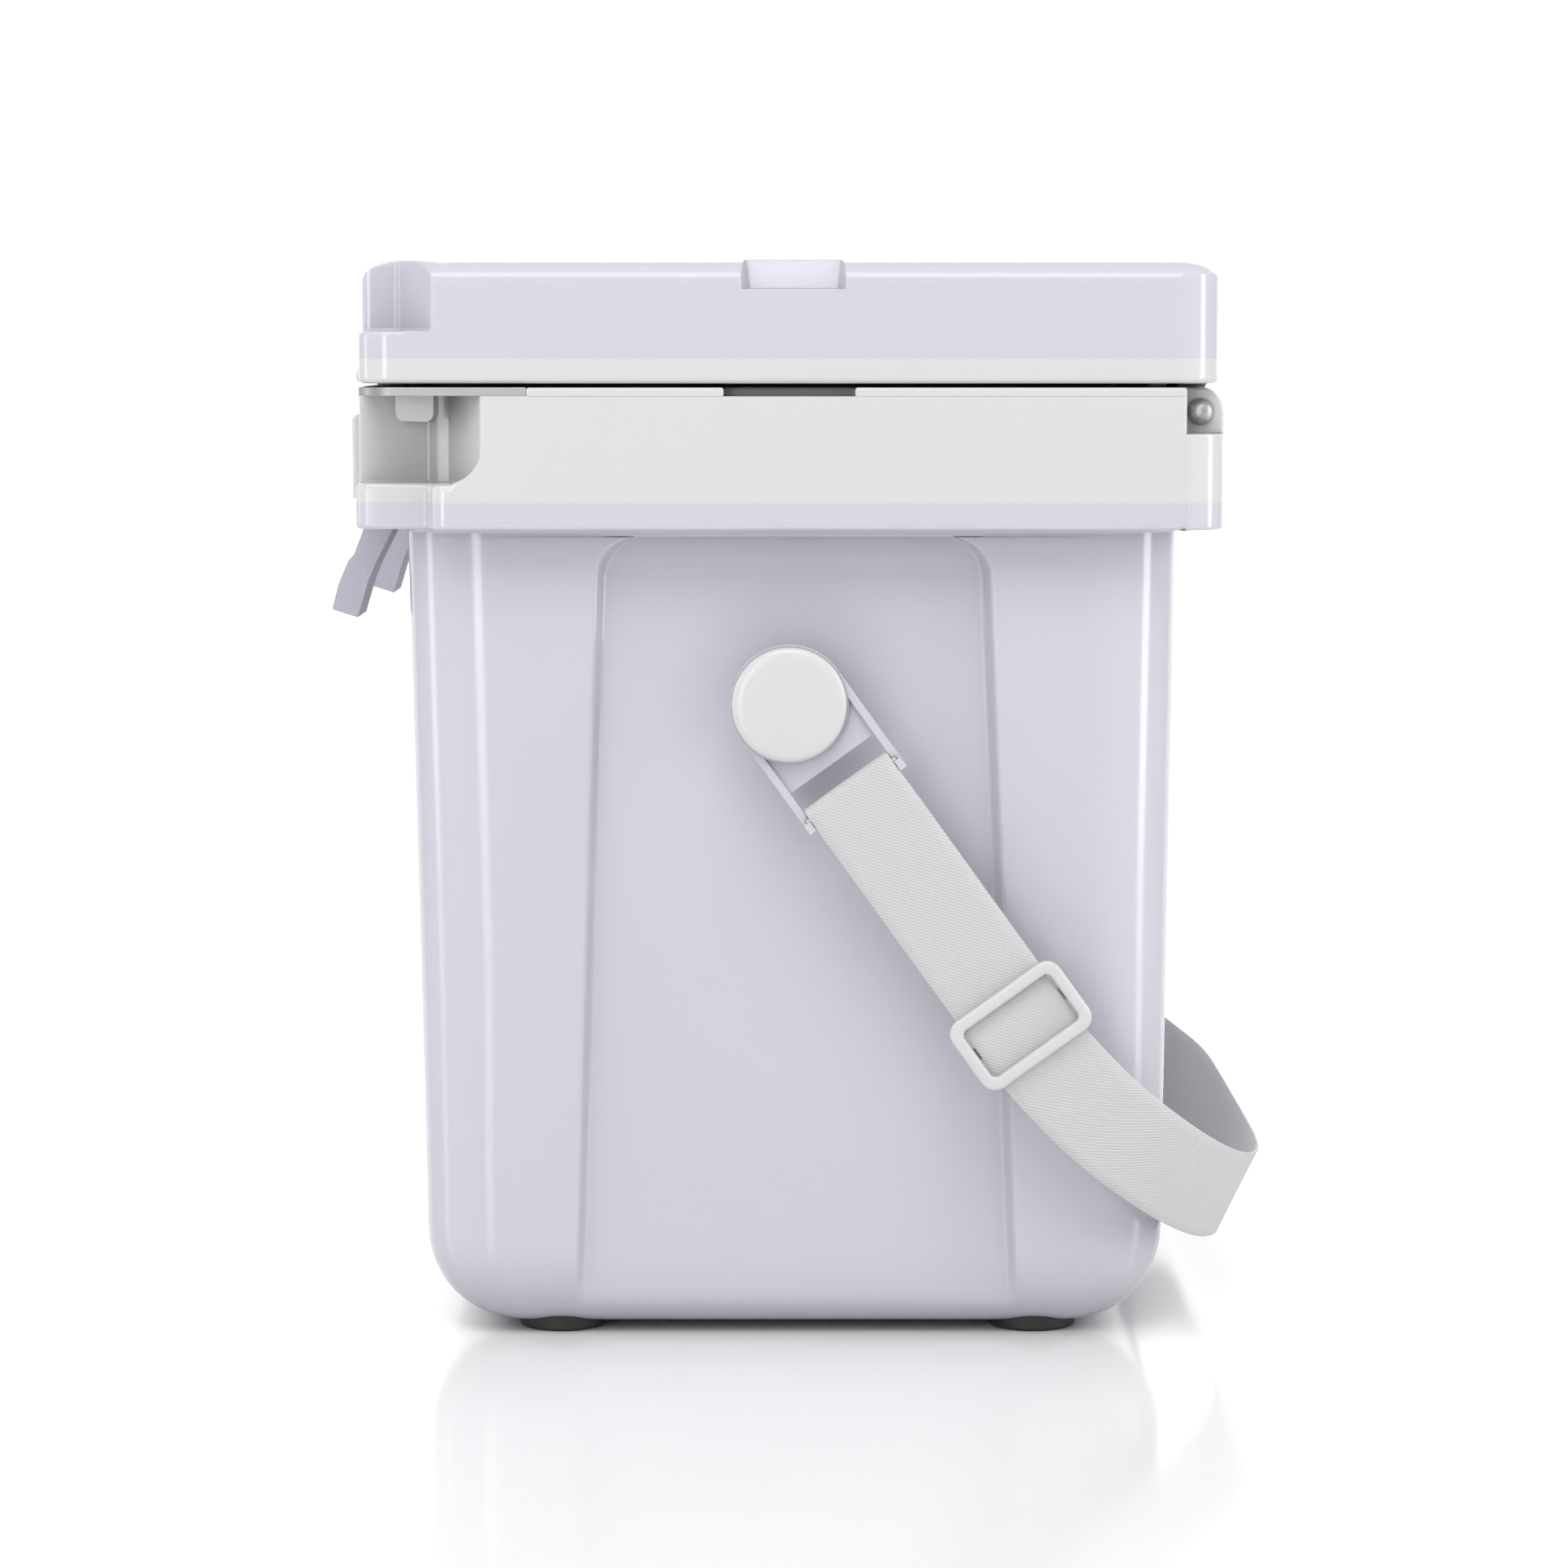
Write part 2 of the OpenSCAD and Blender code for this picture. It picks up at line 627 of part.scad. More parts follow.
module latch_pin(side) color(STEEL)
    rod(latch_pin_r, side * latch_x - 20, side * latch_x + 20, latch_pin_y, latch_pin_z);

module latch(side) color(LATCH) difference() {
    union() {
        rod(latch_barrel_r, side * latch_x - latch_w / 2, side * latch_x + latch_w / 2,
            latch_pin_y, latch_pin_z);
        profile_x(latch_strap, side * latch_x - latch_w / 2, side * latch_x + latch_w / 2);
        profile_x(latch_handle, side * latch_x - latch_t / 2, side * latch_x + latch_t / 2);
    }
    rod(latch_pin_r + fit, side * latch_x - latch_t, side * latch_x + latch_t,
        latch_pin_y, latch_pin_z);
}

// ---------------------------------------------------------------- strap

// Places the strap's own frame at the right pivot: +Y along the hanging strap, Z outwards
module strap_frame() translate([0, 0, pivot_z]) rotate([-strap_angle, 0, 0])
    rotate([0, 90, 0]) children();

module strap_bracket(side) color(LAVENDER) on_side(side) strap_frame() difference() {
    union() {
        translate([0, 0, hub_x[0]]) cylinder(r = hub_r, h = hub_x[1] - hub_x[0], $fn = 96);
        for (s = [-1, 1]) {
            translate([s > 0 ? hub_r - arm_t : -hub_r, 0, hub_x[0]])
                cube([arm_t, bar_reach, hub_x[1] - hub_x[0]]);
            translate([s > 0 ? hub_r - arm_t : -hub_r, bar_reach, hub_x[0]])
                cube([arm_t, arm_end, bar_x + bar_cover - hub_x[0]]);
        }
        translate([-hub_r + 1, 0, hub_x[0]]) cube([2 * hub_r - 2, skirt[0], skirt[1]]);
    }
    cylinder(r = journal_r + fit, h = 300, $fn = fine);
    translate([0, bar_reach, bar_x]) rotate([0, 90, 0])
        cylinder(r = bar_r + fit, h = 2 * (hub_r - 1.4), center = true, $fn = fine);
}

module strap_bar(side) color(STEEL) on_side(side) strap_frame()
    translate([0, bar_reach, bar_x]) rotate([0, 90, 0])
        cylinder(r = bar_r, h = 2 * (hub_r - 1.6), center = true, $fn = fine);

// Slider: a window frame outside the webbing and a hidden bar between its two plies
module strap_slider() color(WHITE) strap_frame() translate([0, slider_reach, 0]) {
    for (s = [-1, 1]) {
        translate([-slider_w / 2 + 2, s * (slider_l - slider_bar) / 2 - slider_bar / 2,
                   slider_x[2]])
            cube([slider_w - 4, slider_bar, slider_x[3] - slider_x[2]]);
        translate([s > 0 ? slider_w / 2 - slider_side : -slider_w / 2, -slider_l / 2 + 2,
                   slider_x[2] - 0.5])
            cube([slider_side, slider_l - 4, slider_x[3] - slider_x[2] + 0.5]);
        translate([s > 0 ? slider_w / 2 - slider_side : -slider_w / 2, -3, slider_x[0]])
            cube([slider_side, 6, slider_x[2] - slider_x[0]]);
        for (t = [-1, 1])
            translate([s * (slider_w / 2 - slider_side / 2), t * (slider_l / 2 - 2.5),
                       slider_x[2]])
                cylinder(r = slider_side / 2, h = slider_x[3] - slider_x[2], $fn = fine);
    }
    translate([-slider_w / 2 + 1, -3, slider_x[0]])
        cube([slider_w - 2, 6, slider_x[1] - slider_x[0]]);
}

// Smooth curve through the points of a list, as values at n steps in each span
function spline(p, i, t) = let (
    a = p[max(i - 1, 0)], b = p[i], c = p[i + 1], d = p[min(i + 2, len(p) - 1)])
    0.5 * ((2 * b) + (c - a) * t + (2 * a - 5 * b + 4 * c - d) * t * t
           + (3 * b - a - 3 * c + d) * t * t * t);

steps = 3;
half_line = [for (i = [0:len(route) - 2], k = [0:steps - 1]) spline(route, i, k / steps)];
half_turn = [for (i = [0:len(route) - 2], k = [0:steps - 1]) spline(width_turn, i, k / steps)];
far_line = [for (i = [len(half_line) - 1:-1:0])
    [-half_line[i][0], half_line[i][1], half_line[i][2]]];
line = concat(half_line, [route[len(route) - 1]], far_line);
turn = concat(half_turn, [width_turn[len(width_turn) - 1]],
              [for (i = [len(half_turn) - 1:-1:0]) half_turn[i]]);

function unit(v) = v / norm(v);
function tangent(i) = unit(line[min(i + 1, len(line) - 1)] - line[max(i - 1, 0)]);
function across(i) = let (w = [0, cos(turn[i]), sin(turn[i])], t = tangent(i))
    unit(w - (w * t) * t);
function ring(i) = let (w = across(i) * web_w / 2, n = cross(tangent(i), across(i)) * web_t / 2)
    [line[i] - w - n, line[i] + w - n, line[i] + w + n, line[i] - w + n];

module loose_run() {
    n = len(line);
    points = [for (i = [0:n - 1]) each ring(i)];
    sides = [for (i = [0:n - 2], k = [0:3])
        [4 * i + k, 4 * (i + 1) + k, 4 * (i + 1) + (k + 1) % 4, 4 * i + (k + 1) % 4]];
    polyhedron(points, concat([[0, 1, 2, 3]], sides,
               [[4 * n - 1, 4 * n - 2, 4 * n - 3, 4 * n - 4]]), convexity = 6);
}

// Straight doubled end: an outer ply, a turn round the crossbar and an inner ply of length tail
module doubled_end(tail) strap_frame() {
    reach = slider_reach + eps;
    translate([-web_w / 2, bar_reach, ply_out]) cube([web_w, reach - bar_reach, web_t]);
    translate([-web_w / 2, bar_reach, ply_in]) cube([web_w, tail, web_t]);
    translate([0, bar_reach, bar_x]) rotate([0, 90, 0]) difference() {
        cylinder(r = bar_r + ply_gap + web_t, h = web_w, center = true, $fn = fine);
        cylinder(r = bar_r + ply_gap, h = web_w + 2, center = true, $fn = fine);
        translate([-10, 0, -web_w]) cube([20, 20, 2 * web_w]);
    }
}

module strap_webbing() color(WEB) {
    doubled_end(slider_reach - bar_reach - 4.6);
    mirror([1, 0, 0]) doubled_end(60);
    loose_run();
}

// ---------------------------------------------------------------- nodes

outer_body();
body_foam();
inner_liner();
lock_plate(-1);  // lock_plate_left
lock_plate(1);  // lock_plate_right
lock_plate_screws();
hinge_pin(-1);  // hinge_pin_left
hinge_pin(1);  // hinge_pin_right
pivot_boss(-1);  // pivot_boss_left
pivot_boss(1);  // pivot_boss_right
pivot_washers();
pivot_cap(-1);  // pivot_cap_left
pivot_cap(1);  // pivot_cap_right
pivot_bolts();
pivot_inserts();
foot(-1, foot_y[0]);  // foot_front_left
foot(1, foot_y[0]);  // foot_front_right
foot(-1, foot_y[1]);  // foot_rear_left
foot(1, foot_y[1]);  // foot_rear_right
foot_screws();
lid_top();
lid_foam();
lid_liner();
lid_gasket();
latch_pin(-1);  // latch_pin_left
latch_pin(1);  // latch_pin_right
latch(-1);  // latch_left
latch(1);  // latch_right
strap_bracket(-1);  // strap_bracket_left
strap_bracket(1);  // strap_bracket_right
strap_bar(-1);  // strap_bar_left
strap_bar(1);  // strap_bar_right
strap_webbing();
strap_slider();
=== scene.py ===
import json
import math

import bmesh
import bpy
import numpy as np
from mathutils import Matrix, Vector

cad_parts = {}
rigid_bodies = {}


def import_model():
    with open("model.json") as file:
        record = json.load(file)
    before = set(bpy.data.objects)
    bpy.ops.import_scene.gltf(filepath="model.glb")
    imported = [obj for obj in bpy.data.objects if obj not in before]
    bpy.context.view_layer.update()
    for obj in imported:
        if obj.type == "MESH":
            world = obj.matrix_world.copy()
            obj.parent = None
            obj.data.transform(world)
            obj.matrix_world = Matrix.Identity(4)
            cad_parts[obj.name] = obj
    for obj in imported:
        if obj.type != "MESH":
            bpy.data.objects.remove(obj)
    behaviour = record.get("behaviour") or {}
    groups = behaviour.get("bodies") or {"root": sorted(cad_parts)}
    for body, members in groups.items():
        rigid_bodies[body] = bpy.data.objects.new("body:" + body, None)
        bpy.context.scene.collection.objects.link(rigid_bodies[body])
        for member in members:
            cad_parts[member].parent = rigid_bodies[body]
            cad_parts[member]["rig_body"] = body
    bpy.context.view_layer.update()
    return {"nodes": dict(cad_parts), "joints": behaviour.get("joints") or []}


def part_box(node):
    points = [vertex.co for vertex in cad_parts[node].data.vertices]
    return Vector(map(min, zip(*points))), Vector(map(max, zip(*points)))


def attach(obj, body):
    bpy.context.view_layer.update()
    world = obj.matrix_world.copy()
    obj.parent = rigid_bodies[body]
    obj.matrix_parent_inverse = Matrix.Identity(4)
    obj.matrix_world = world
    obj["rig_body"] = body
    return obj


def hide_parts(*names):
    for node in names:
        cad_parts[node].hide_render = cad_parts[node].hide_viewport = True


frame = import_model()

# The script thinks in millimetres, in the frame of the CAD model, and writes metres.
MM = 0.001


def mm_box(node):
    """Lowest and highest corners of a CAD node, in millimetres."""
    return [np.array(v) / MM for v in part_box(node)]


joint = {j["name"]: j for j in frame["joints"]}
rim_lo, rim_hi = mm_box("inner_liner")
shell_lo, shell_hi = mm_box("outer_body")
lid_lo, lid_hi = mm_box("lid_top")
hinge_y, hinge_z = (joint["lid_hinge"]["pos_m"][k] / MM for k in (1, 2))
pivot_z = joint["strap_swing"]["pos_m"][2] / MM

HALF_W = rim_hi[0]
RIM_TOP = rim_hi[2]
RIM_REAR = rim_hi[1]
RIM_FRONT = -RIM_REAR
PAD_FRONT = rim_lo[1]
RIM_SPLIT = shell_hi[2]
RIM_BOTTOM = RIM_SPLIT - 10.2
BODY_BASE = shell_lo[2]
LID_SPLIT = lid_lo[2]
LID_TOP = lid_hi[2]
LID_REAR = lid_hi[1]
LID_FRONT = -LID_REAR - 0.1
LID_BOTTOM = LID_SPLIT - 9.2


# ------------------------------------------------------------------ mesh tools

def outline(corners, layout):
    """Closed loop of points through corners (x, y, z, radius). layout gives, for each corner,
    how many points its arc has and how many spans run to the next corner."""
    count = len(corners)
    arcs = []
    for i, (x, y, z, r) in enumerate(corners):
        p = np.array((x, y))
        to_a = np.array(corners[i - 1][:2]) - p
        to_b = np.array(corners[(i + 1) % count][:2]) - p
        len_a, len_b = np.linalg.norm(to_a), np.linalg.norm(to_b)
        a, b = to_a / len_a, to_b / len_b
        half = math.acos(np.clip(a @ b, -1, 1)) / 2
        k = layout[i][0]
        steps = np.linspace(0, 1, k)
        if math.cos(half) < 0.02:
            reach = min(r, 0.3 * len_a, 0.3 * len_b)
            pts = [p + a * reach * (1 - t) + b * reach * t for t in steps]
        else:
            share_a = 0.94 if corners[i - 1][3] <= 1 else 0.48
            share_b = 0.94 if corners[(i + 1) % count][3] <= 1 else 0.48
            reach = min(r / math.tan(half), share_a * len_a, share_b * len_b)
            radius = reach * math.tan(half)
            centre = p + (a + b) / np.linalg.norm(a + b) * radius / math.sin(half)
            start = p + a * reach - centre
            end = p + b * reach - centre
            turn = math.atan2(start[0] * end[1] - start[1] * end[0], start @ end)
            pts = []
            for t in steps:
                c, s = math.cos(turn * t), math.sin(turn * t)
                pts.append(centre + (start[0] * c - start[1] * s, start[0] * s + start[1] * c))
        arcs.append([np.array((*q, z)) for q in pts])
    loop = []
    for i, arc in enumerate(arcs):
        loop += arc
        spans, following = layout[i][1], arcs[(i + 1) % count][0]
        loop += [arc[-1] + (following - arc[-1]) * j / spans for j in range(1, spans)]
    return np.array(loop)


def mirrored(half, layout, front_spans):
    """Whole outline from the right half's corners, which run from the front to the rear."""
    corners = half + [(-x, y, z, r) for x, y, z, r in reversed(half)]
    last = len(half) - 1
    spans = layout + [(layout[j][0], layout[j - 1][1] if j else front_spans)
                      for j in range(last, -1, -1)]
    return outline(corners, spans)


def at_height(loop, z):
    return np.column_stack([loop[:, :2], np.full(len(loop), float(z))])


def shrink(loop, amount):
    """The loop moved inwards in its own plane."""
    before, after = np.roll(loop, 1, 0)[:, :2], np.roll(loop, -1, 0)[:, :2]
    here = loop[:, :2]
    e0, e1 = here - before, after - here
    n0 = np.column_stack([-e0[:, 1], e0[:, 0]]) / np.linalg.norm(e0, axis=1)[:, None]
    n1 = np.column_stack([-e1[:, 1], e1[:, 0]]) / np.linalg.norm(e1, axis=1)[:, None]
    miter = (n0 + n1) / np.maximum(1 + (n0 * n1).sum(1), 0.4)[:, None]
    out = loop.copy()
    out[:, :2] += miter * np.reshape(amount, (-1, 1))
    return out


def ledge(lower, upper, r_low, r_up, steps=3):
    """Rows that turn from one outline to another at one height, with a fillet at each edge.
    Columns where the two outlines agree run straight through."""
    across = upper[:, :2] - lower[:, :2]
    width = np.linalg.norm(across, axis=1)
    way = across / np.maximum(width, 1e-9)[:, None]
    a = np.minimum(r_low, width / 2)[:, None]
    b = np.minimum(r_up, width / 2)[:, None]
    rows = []
    for t in np.linspace(0, math.pi / 2, steps + 1):
        row = lower.copy()
        row[:, :2] += way * a * (1 - math.cos(t))
        row[:, 2] += r_low * (math.sin(t) - 1)
        rows.append(row)
    for t in np.linspace(0, math.pi / 2, steps + 1):
        row = upper.copy()
        row[:, :2] -= way * b * (1 - math.sin(t))
        row[:, 2] += r_up * (1 - math.cos(t))
        rows.append(row)
    same = width < 1e-6
    if same.any():
        low, high = lower[:, 2] - r_low, upper[:, 2] + r_up
        for i, row in enumerate(rows):
            share = i / (len(rows) - 1)
            row[same, :2] = lower[same, :2]
            row[same, 2] = low[same] + (high[same] - low[same]) * share
    return rows


class Skin:
    """Collects quads between rows of points, then makes one Blender mesh."""

    def __init__(self):
        self.points = []
        self.faces = []
        self.flats = []

    def rows(self, rows, flip=False):
        first = len(self.points)
        n = len(rows[0])
        for row in rows:
            self.points += [tuple(p) for p in row]
        for r in range(len(rows) - 1):
            for i in range(n):
                j = (i + 1) % n
                a, b = first + r * n, first + (r + 1) * n
                quad = (a + i, a + j, b + j, b + i)
                self.faces.append(quad[::-1] if flip else quad)
        return list(range(first, first + n)), list(range(len(self.points) - n, len(self.points)))

    def cap(self, ids, flip=False):
        self.faces.append(tuple(reversed(ids)) if flip else tuple(ids))

    def fill_between(self, outer_ids, inner_ids):
        """Asks for a flat face between two loops that lie in one plane."""
        self.flats.append((outer_ids, inner_ids))

    def make(self, name, body, material, smooth=35):
        mesh = bpy.data.meshes.new(name)
        mesh.from_pydata([(x * MM, y * MM, z * MM) for x, y, z in self.points], [], self.faces)
        if self.flats:
            bm = bmesh.new()
            bm.from_mesh(mesh)
            bm.verts.ensure_lookup_table()
            for loops in self.flats:
                rims = [bm.edges.get((bm.verts[a], bm.verts[b]))
                        for ids in loops for a, b in zip(ids, ids[1:] + ids[:1])]
                bmesh.ops.triangle_fill(bm, use_beauty=True, edges=[e for e in rims if e])
            bm.to_mesh(mesh)
            bm.free()
        return finished(mesh, name, body, material, smooth)


def finished(mesh, name, body, material, smooth=35, weighted=True):
    """Cleans a mesh, turns its faces outwards, and makes it a piece that rides on a body."""
    bm = bmesh.new()
    bm.from_mesh(mesh)
    bmesh.ops.remove_doubles(bm, verts=bm.verts, dist=2e-6)
    bmesh.ops.dissolve_degenerate(bm, edges=bm.edges, dist=1e-6)
    bmesh.ops.recalc_face_normals(bm, faces=bm.faces)
    bm.to_mesh(mesh)
    bm.free()
    mesh.shade_smooth()
    mesh.set_sharp_from_angle(angle=math.radians(smooth))
    obj = bpy.data.objects.new(name, mesh)
    bpy.context.scene.collection.objects.link(obj)
    mesh.materials.append(material)
    if weighted:
        modifier = obj.modifiers.new("even_shading", "WEIGHTED_NORMAL")
        modifier.keep_sharp = True
        modifier.weight = 60
    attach(obj, body)
    return obj


# ------------------------------------------------------------------ materials

def node_material(name):
    mat = bpy.data.materials.new(name)
    mat.use_nodes = True
    tree = mat.node_tree
    shader = tree.nodes["Principled BSDF"]
    coords = tree.nodes.new("ShaderNodeTexCoord")
    return mat, tree, shader, coords


def noise(tree, coords, scale, detail=3.0, stretch=None):
    tex = tree.nodes.new("ShaderNodeTexNoise")
    tex.inputs["Scale"].default_value = scale
    tex.inputs["Detail"].default_value = detail
    if stretch is None:
        tree.links.new(coords.outputs["Object"], tex.inputs["Vector"])
    else:
        mapping = tree.nodes.new("ShaderNodeMapping")
        mapping.inputs["Scale"].default_value = stretch
        tree.links.new(coords.outputs["Object"], mapping.inputs["Vector"])
        tree.links.new(mapping.outputs["Vector"], tex.inputs["Vector"])
    return tex.outputs["Fac"]


def ramp(tree, source, low, high):
    """Maps a 0..1 value to a range."""
    node = tree.nodes.new("ShaderNodeMapRange")
    node.inputs["To Min"].default_value = low
    node.inputs["To Max"].default_value = high
    tree.links.new(source, node.inputs["Value"])
    return node.outputs["Result"]


def tint(tree, source, dark, light):
    node = tree.nodes.new("ShaderNodeMix")
    node.data_type = "RGBA"
    node.inputs[6].default_value = (*dark, 1)
    node.inputs[7].default_value = (*light, 1)
    tree.links.new(source, node.inputs["Factor"])
    return node.outputs[2]


def bump(tree, source, shader, strength, distance):
    node = tree.nodes.new("ShaderNodeBump")
    node.inputs["Strength"].default_value = strength
    node.inputs["Distance"].default_value = distance
    tree.links.new(source, node.inputs["Height"])
    tree.links.new(node.outputs["Normal"], shader.inputs["Normal"])
    return node


def plastic(name, colour, roughness, variation=0.012, texture=0.06, painted_shade=0.35):
    """Moulded plastic: a soft gloss, a faint mottle, painted shade from an ambient-occlusion node
    that darkens the colour in recesses and under overhangs, and a very fine orange peel.
    """
    mat, tree, shader, coords = node_material(name)
    mottle = noise(tree, coords, 9.0, 4.0)
    dark = [max(c - variation, 0) for c in colour]
    light = [c + variation for c in colour]
    # painted shade: an ambient-occlusion node darkens the colour where nearby surfaces close in,
    # such as recesses, the corner pocket and under the rim
    shade = tree.nodes.new("ShaderNodeAmbientOcclusion")
    shade.samples = 4
    shade.inputs["Distance"].default_value = 0.035
    tree.links.new(tint(tree, mottle, dark, light), shade.inputs["Color"])
    # blends the painted recess shade into the base colour, by the given strength
    deep = tree.nodes.new("ShaderNodeMix")
    deep.data_type = "RGBA"
    deep.inputs["Factor"].default_value = painted_shade
    tree.links.new(tint(tree, mottle, dark, light), deep.inputs[6])
    tree.links.new(shade.outputs["Color"], deep.inputs[7])
    tree.links.new(deep.outputs[2], shader.inputs["Base Color"])
    rough = ramp(tree, noise(tree, coords, 60.0, 3.0), roughness - 0.03, roughness + 0.04)
    tree.links.new(rough, shader.inputs["Roughness"])
    shader.inputs["IOR"].default_value = 1.5
    bump(tree, noise(tree, coords, 900.0, 2.0), shader, texture, 0.0002)
    return mat


def metal(name, colour, roughness, brushed=None):
    mat, tree, shader, coords = node_material(name)
    grain = noise(tree, coords, 400.0 if brushed is None else 1.0, 4.0, brushed)
    dark = [c * 0.82 for c in colour]
    tree.links.new(tint(tree, grain, dark, colour), shader.inputs["Base Color"])
    shader.inputs["Metallic"].default_value = 1.0
    tree.links.new(ramp(tree, grain, roughness - 0.08, roughness + 0.1),
                   shader.inputs["Roughness"])
    bump(tree, grain, shader, 0.12, 0.0001)
    return mat


def rubber(name, colour, roughness):
    mat, tree, shader, coords = node_material(name)
    speck = noise(tree, coords, 500.0, 5.0)
    dark = [c * 0.88 for c in colour]
    light = [min(c * 1.08, 1) for c in colour]
    tree.links.new(tint(tree, speck, dark, light), shader.inputs["Base Color"])
    tree.links.new(ramp(tree, speck, roughness - 0.06, roughness + 0.06),
                   shader.inputs["Roughness"])
    bump(tree, speck, shader, 0.25, 0.0003)
    return mat


# the fifth number of the white and foam plastics is the strength of their painted recess shade
LAVENDER = plastic("lavender_plastic", (0.575, 0.562, 0.63), 0.14, 0.006, 0.02)
WHITE = plastic("white_plastic", (0.63, 0.63, 0.628), 0.18, 0.006, 0.02, 0.5)
CAP_WHITE = plastic("cap_plastic", (0.63, 0.63, 0.632), 0.26, 0.006, 0.02)
FOAM = plastic("foam", (0.82, 0.74, 0.52), 0.85, 0.05, 0.6)
STEEL = metal("pin_steel", (0.5, 0.5, 0.51), 0.46)
PLATE = metal("brushed_plate", (0.44, 0.44, 0.45), 0.46, (40, 900, 900))
BRASS = metal("brass", (0.75, 0.58, 0.28), 0.3)
LATCH = rubber("latch_rubber", (0.47, 0.455, 0.53), 0.5)
BLACK = rubber("black_rubber", (0.018, 0.018, 0.019), 0.6)


# ------------------------------------------------------------------ lower body

LOW_Z = 40              # the bottom's rounding ends here
BODY_FRONT = (-146.0, -140.0)    # at the rim and at LOW_Z
BODY_REAR = (147.8, 144.2)
BODY_HALF = (184.0, 179.8)
BODY_CORNER = 31
ROUND_X, ROUND_Y, ROUND_Z = 21, 33, LOW_Z - BODY_BASE
PANEL_DEEP = 6.5
PANEL_LEFT = (-70.6, -79.6)      # panel edges at the rim and at LOW_Z
PANEL_RIGHT = (73.8, 85.0)
PANEL_SLOPE = 1.7
PANEL_TOP_R = 15
PANEL_TOP = RIM_BOTTOM - 3


def draft(pair, z):
    """Straight line between a value at the rim and one at LOW_Z."""
    return pair[1] + (pair[0] - pair[1]) * (z - LOW_Z) / (RIM_BOTTOM - LOW_Z)


body_layout = [(12, 6), (4, 2), (4, 10), (4, 2), (4, 6), (12, 14)]


def body_loop(z, turn=0.0, panel=True, flare=0.0):
    """Outline of the body. turn goes from 0 to 90 degrees round the bottom's edge."""
    height = z if turn == 0 else LOW_Z
    cut = 1 - math.cos(turn)
    front = draft(BODY_FRONT, height) + ROUND_Y * cut - flare
    rear = draft(BODY_REAR, height) - ROUND_Y * cut + flare
    half = draft(BODY_HALF, height) - ROUND_X * cut + flare
    near_top = max(0.0, z - (PANEL_TOP - PANEL_TOP_R))
    tuck = PANEL_TOP_R - math.sqrt(max(PANEL_TOP_R ** 2 - near_top ** 2, 0)) if panel else 0
    left = draft(PANEL_LEFT, z) + tuck
    right = draft(PANEL_RIGHT, z) - tuck
    floor = min(half, draft(BODY_HALF, z) - PANEL_DEEP) if panel else half
    zz = z if turn == 0 else LOW_Z - ROUND_Z * math.sin(turn)
    corner = BODY_CORNER - 8 * cut
    half_corners = [
        (half, front, zz, corner),
        (half, left - PANEL_SLOPE, zz, 2.6),
        (floor, left + PANEL_SLOPE, zz, 2.6),
        (floor, right - PANEL_SLOPE, zz, 2.0),
        (half, right + PANEL_SLOPE, zz, 2.0),
        (half, rear, zz, corner),
    ]
    return mirrored(half_corners, body_layout, 14)


def make_outer_body():
    skin = Skin()
    rows = []
    for turn in np.linspace(math.pi / 2, 0, 13)[:-1]:
        rows.append(body_loop(LOW_Z - ROUND_Z * math.sin(turn), turn))
    rows += [body_loop(z) for z in np.linspace(LOW_Z, PANEL_TOP - PANEL_TOP_R, 14)]
    for t in np.linspace(0, 1, 9)[1:]:
        rows.append(body_loop(PANEL_TOP - PANEL_TOP_R * (1 - math.sin(t * math.pi / 2 * 0.97))))
    plain = at_height(body_loop(PANEL_TOP, panel=False), PANEL_TOP)
    rows += ledge(at_height(rows[-1], PANEL_TOP), plain, 0.3, 1.2)[1:]
    for t in np.linspace(0, 1, 4):
        rows.append(body_loop(PANEL_TOP + 1.4 + 1.8 * t, panel=False,
                              flare=2.0 * (1 - math.cos(t * math.pi / 2))))
    first, _ = skin.rows(rows)
    skin.cap(first, flip=True)
    # rim flange below the colour boundary, with its underside
    flange = rim_loop(RIM_SPLIT, "low")
    edge = rim_loop(RIM_BOTTOM, "low")
    under = body_loop(RIM_BOTTOM, panel=False, flare=-4)
    under_rows = [at_height(flange, RIM_SPLIT), at_height(edge, RIM_BOTTOM + 1.6)]
    for t in np.linspace(0, math.pi / 2, 4)[1:]:
        row = shrink(edge, 1.6 * (1 - math.cos(t)))
        under_rows.append(at_height(row, RIM_BOTTOM + 1.6 * (1 - math.sin(t))))
    skin.rows(under_rows)
    inner = resampled(under, under_rows[-1])
    skin.rows([under_rows[-1], inner])
    return skin.make("outer_body_shell", "chest", LAVENDER)


def resampled(loop, like):
    """For each point of one loop, the nearest point towards the middle on another loop."""
    angles = np.arctan2(loop[:, 1], loop[:, 0])
    order = np.argsort(angles)
    ang, pts = angles[order], loop[order]
    ang = np.concatenate([ang[-1:] - 2 * math.pi, ang, ang[:1] + 2 * math.pi])
    pts = np.vstack([pts[-1:], pts, pts[:1]])
    want = np.arctan2(like[:, 1], like[:, 0])
    return np.column_stack([np.interp(want, ang, pts[:, k]) for k in range(3)])


# ------------------------------------------------------------------ rim collar and tub

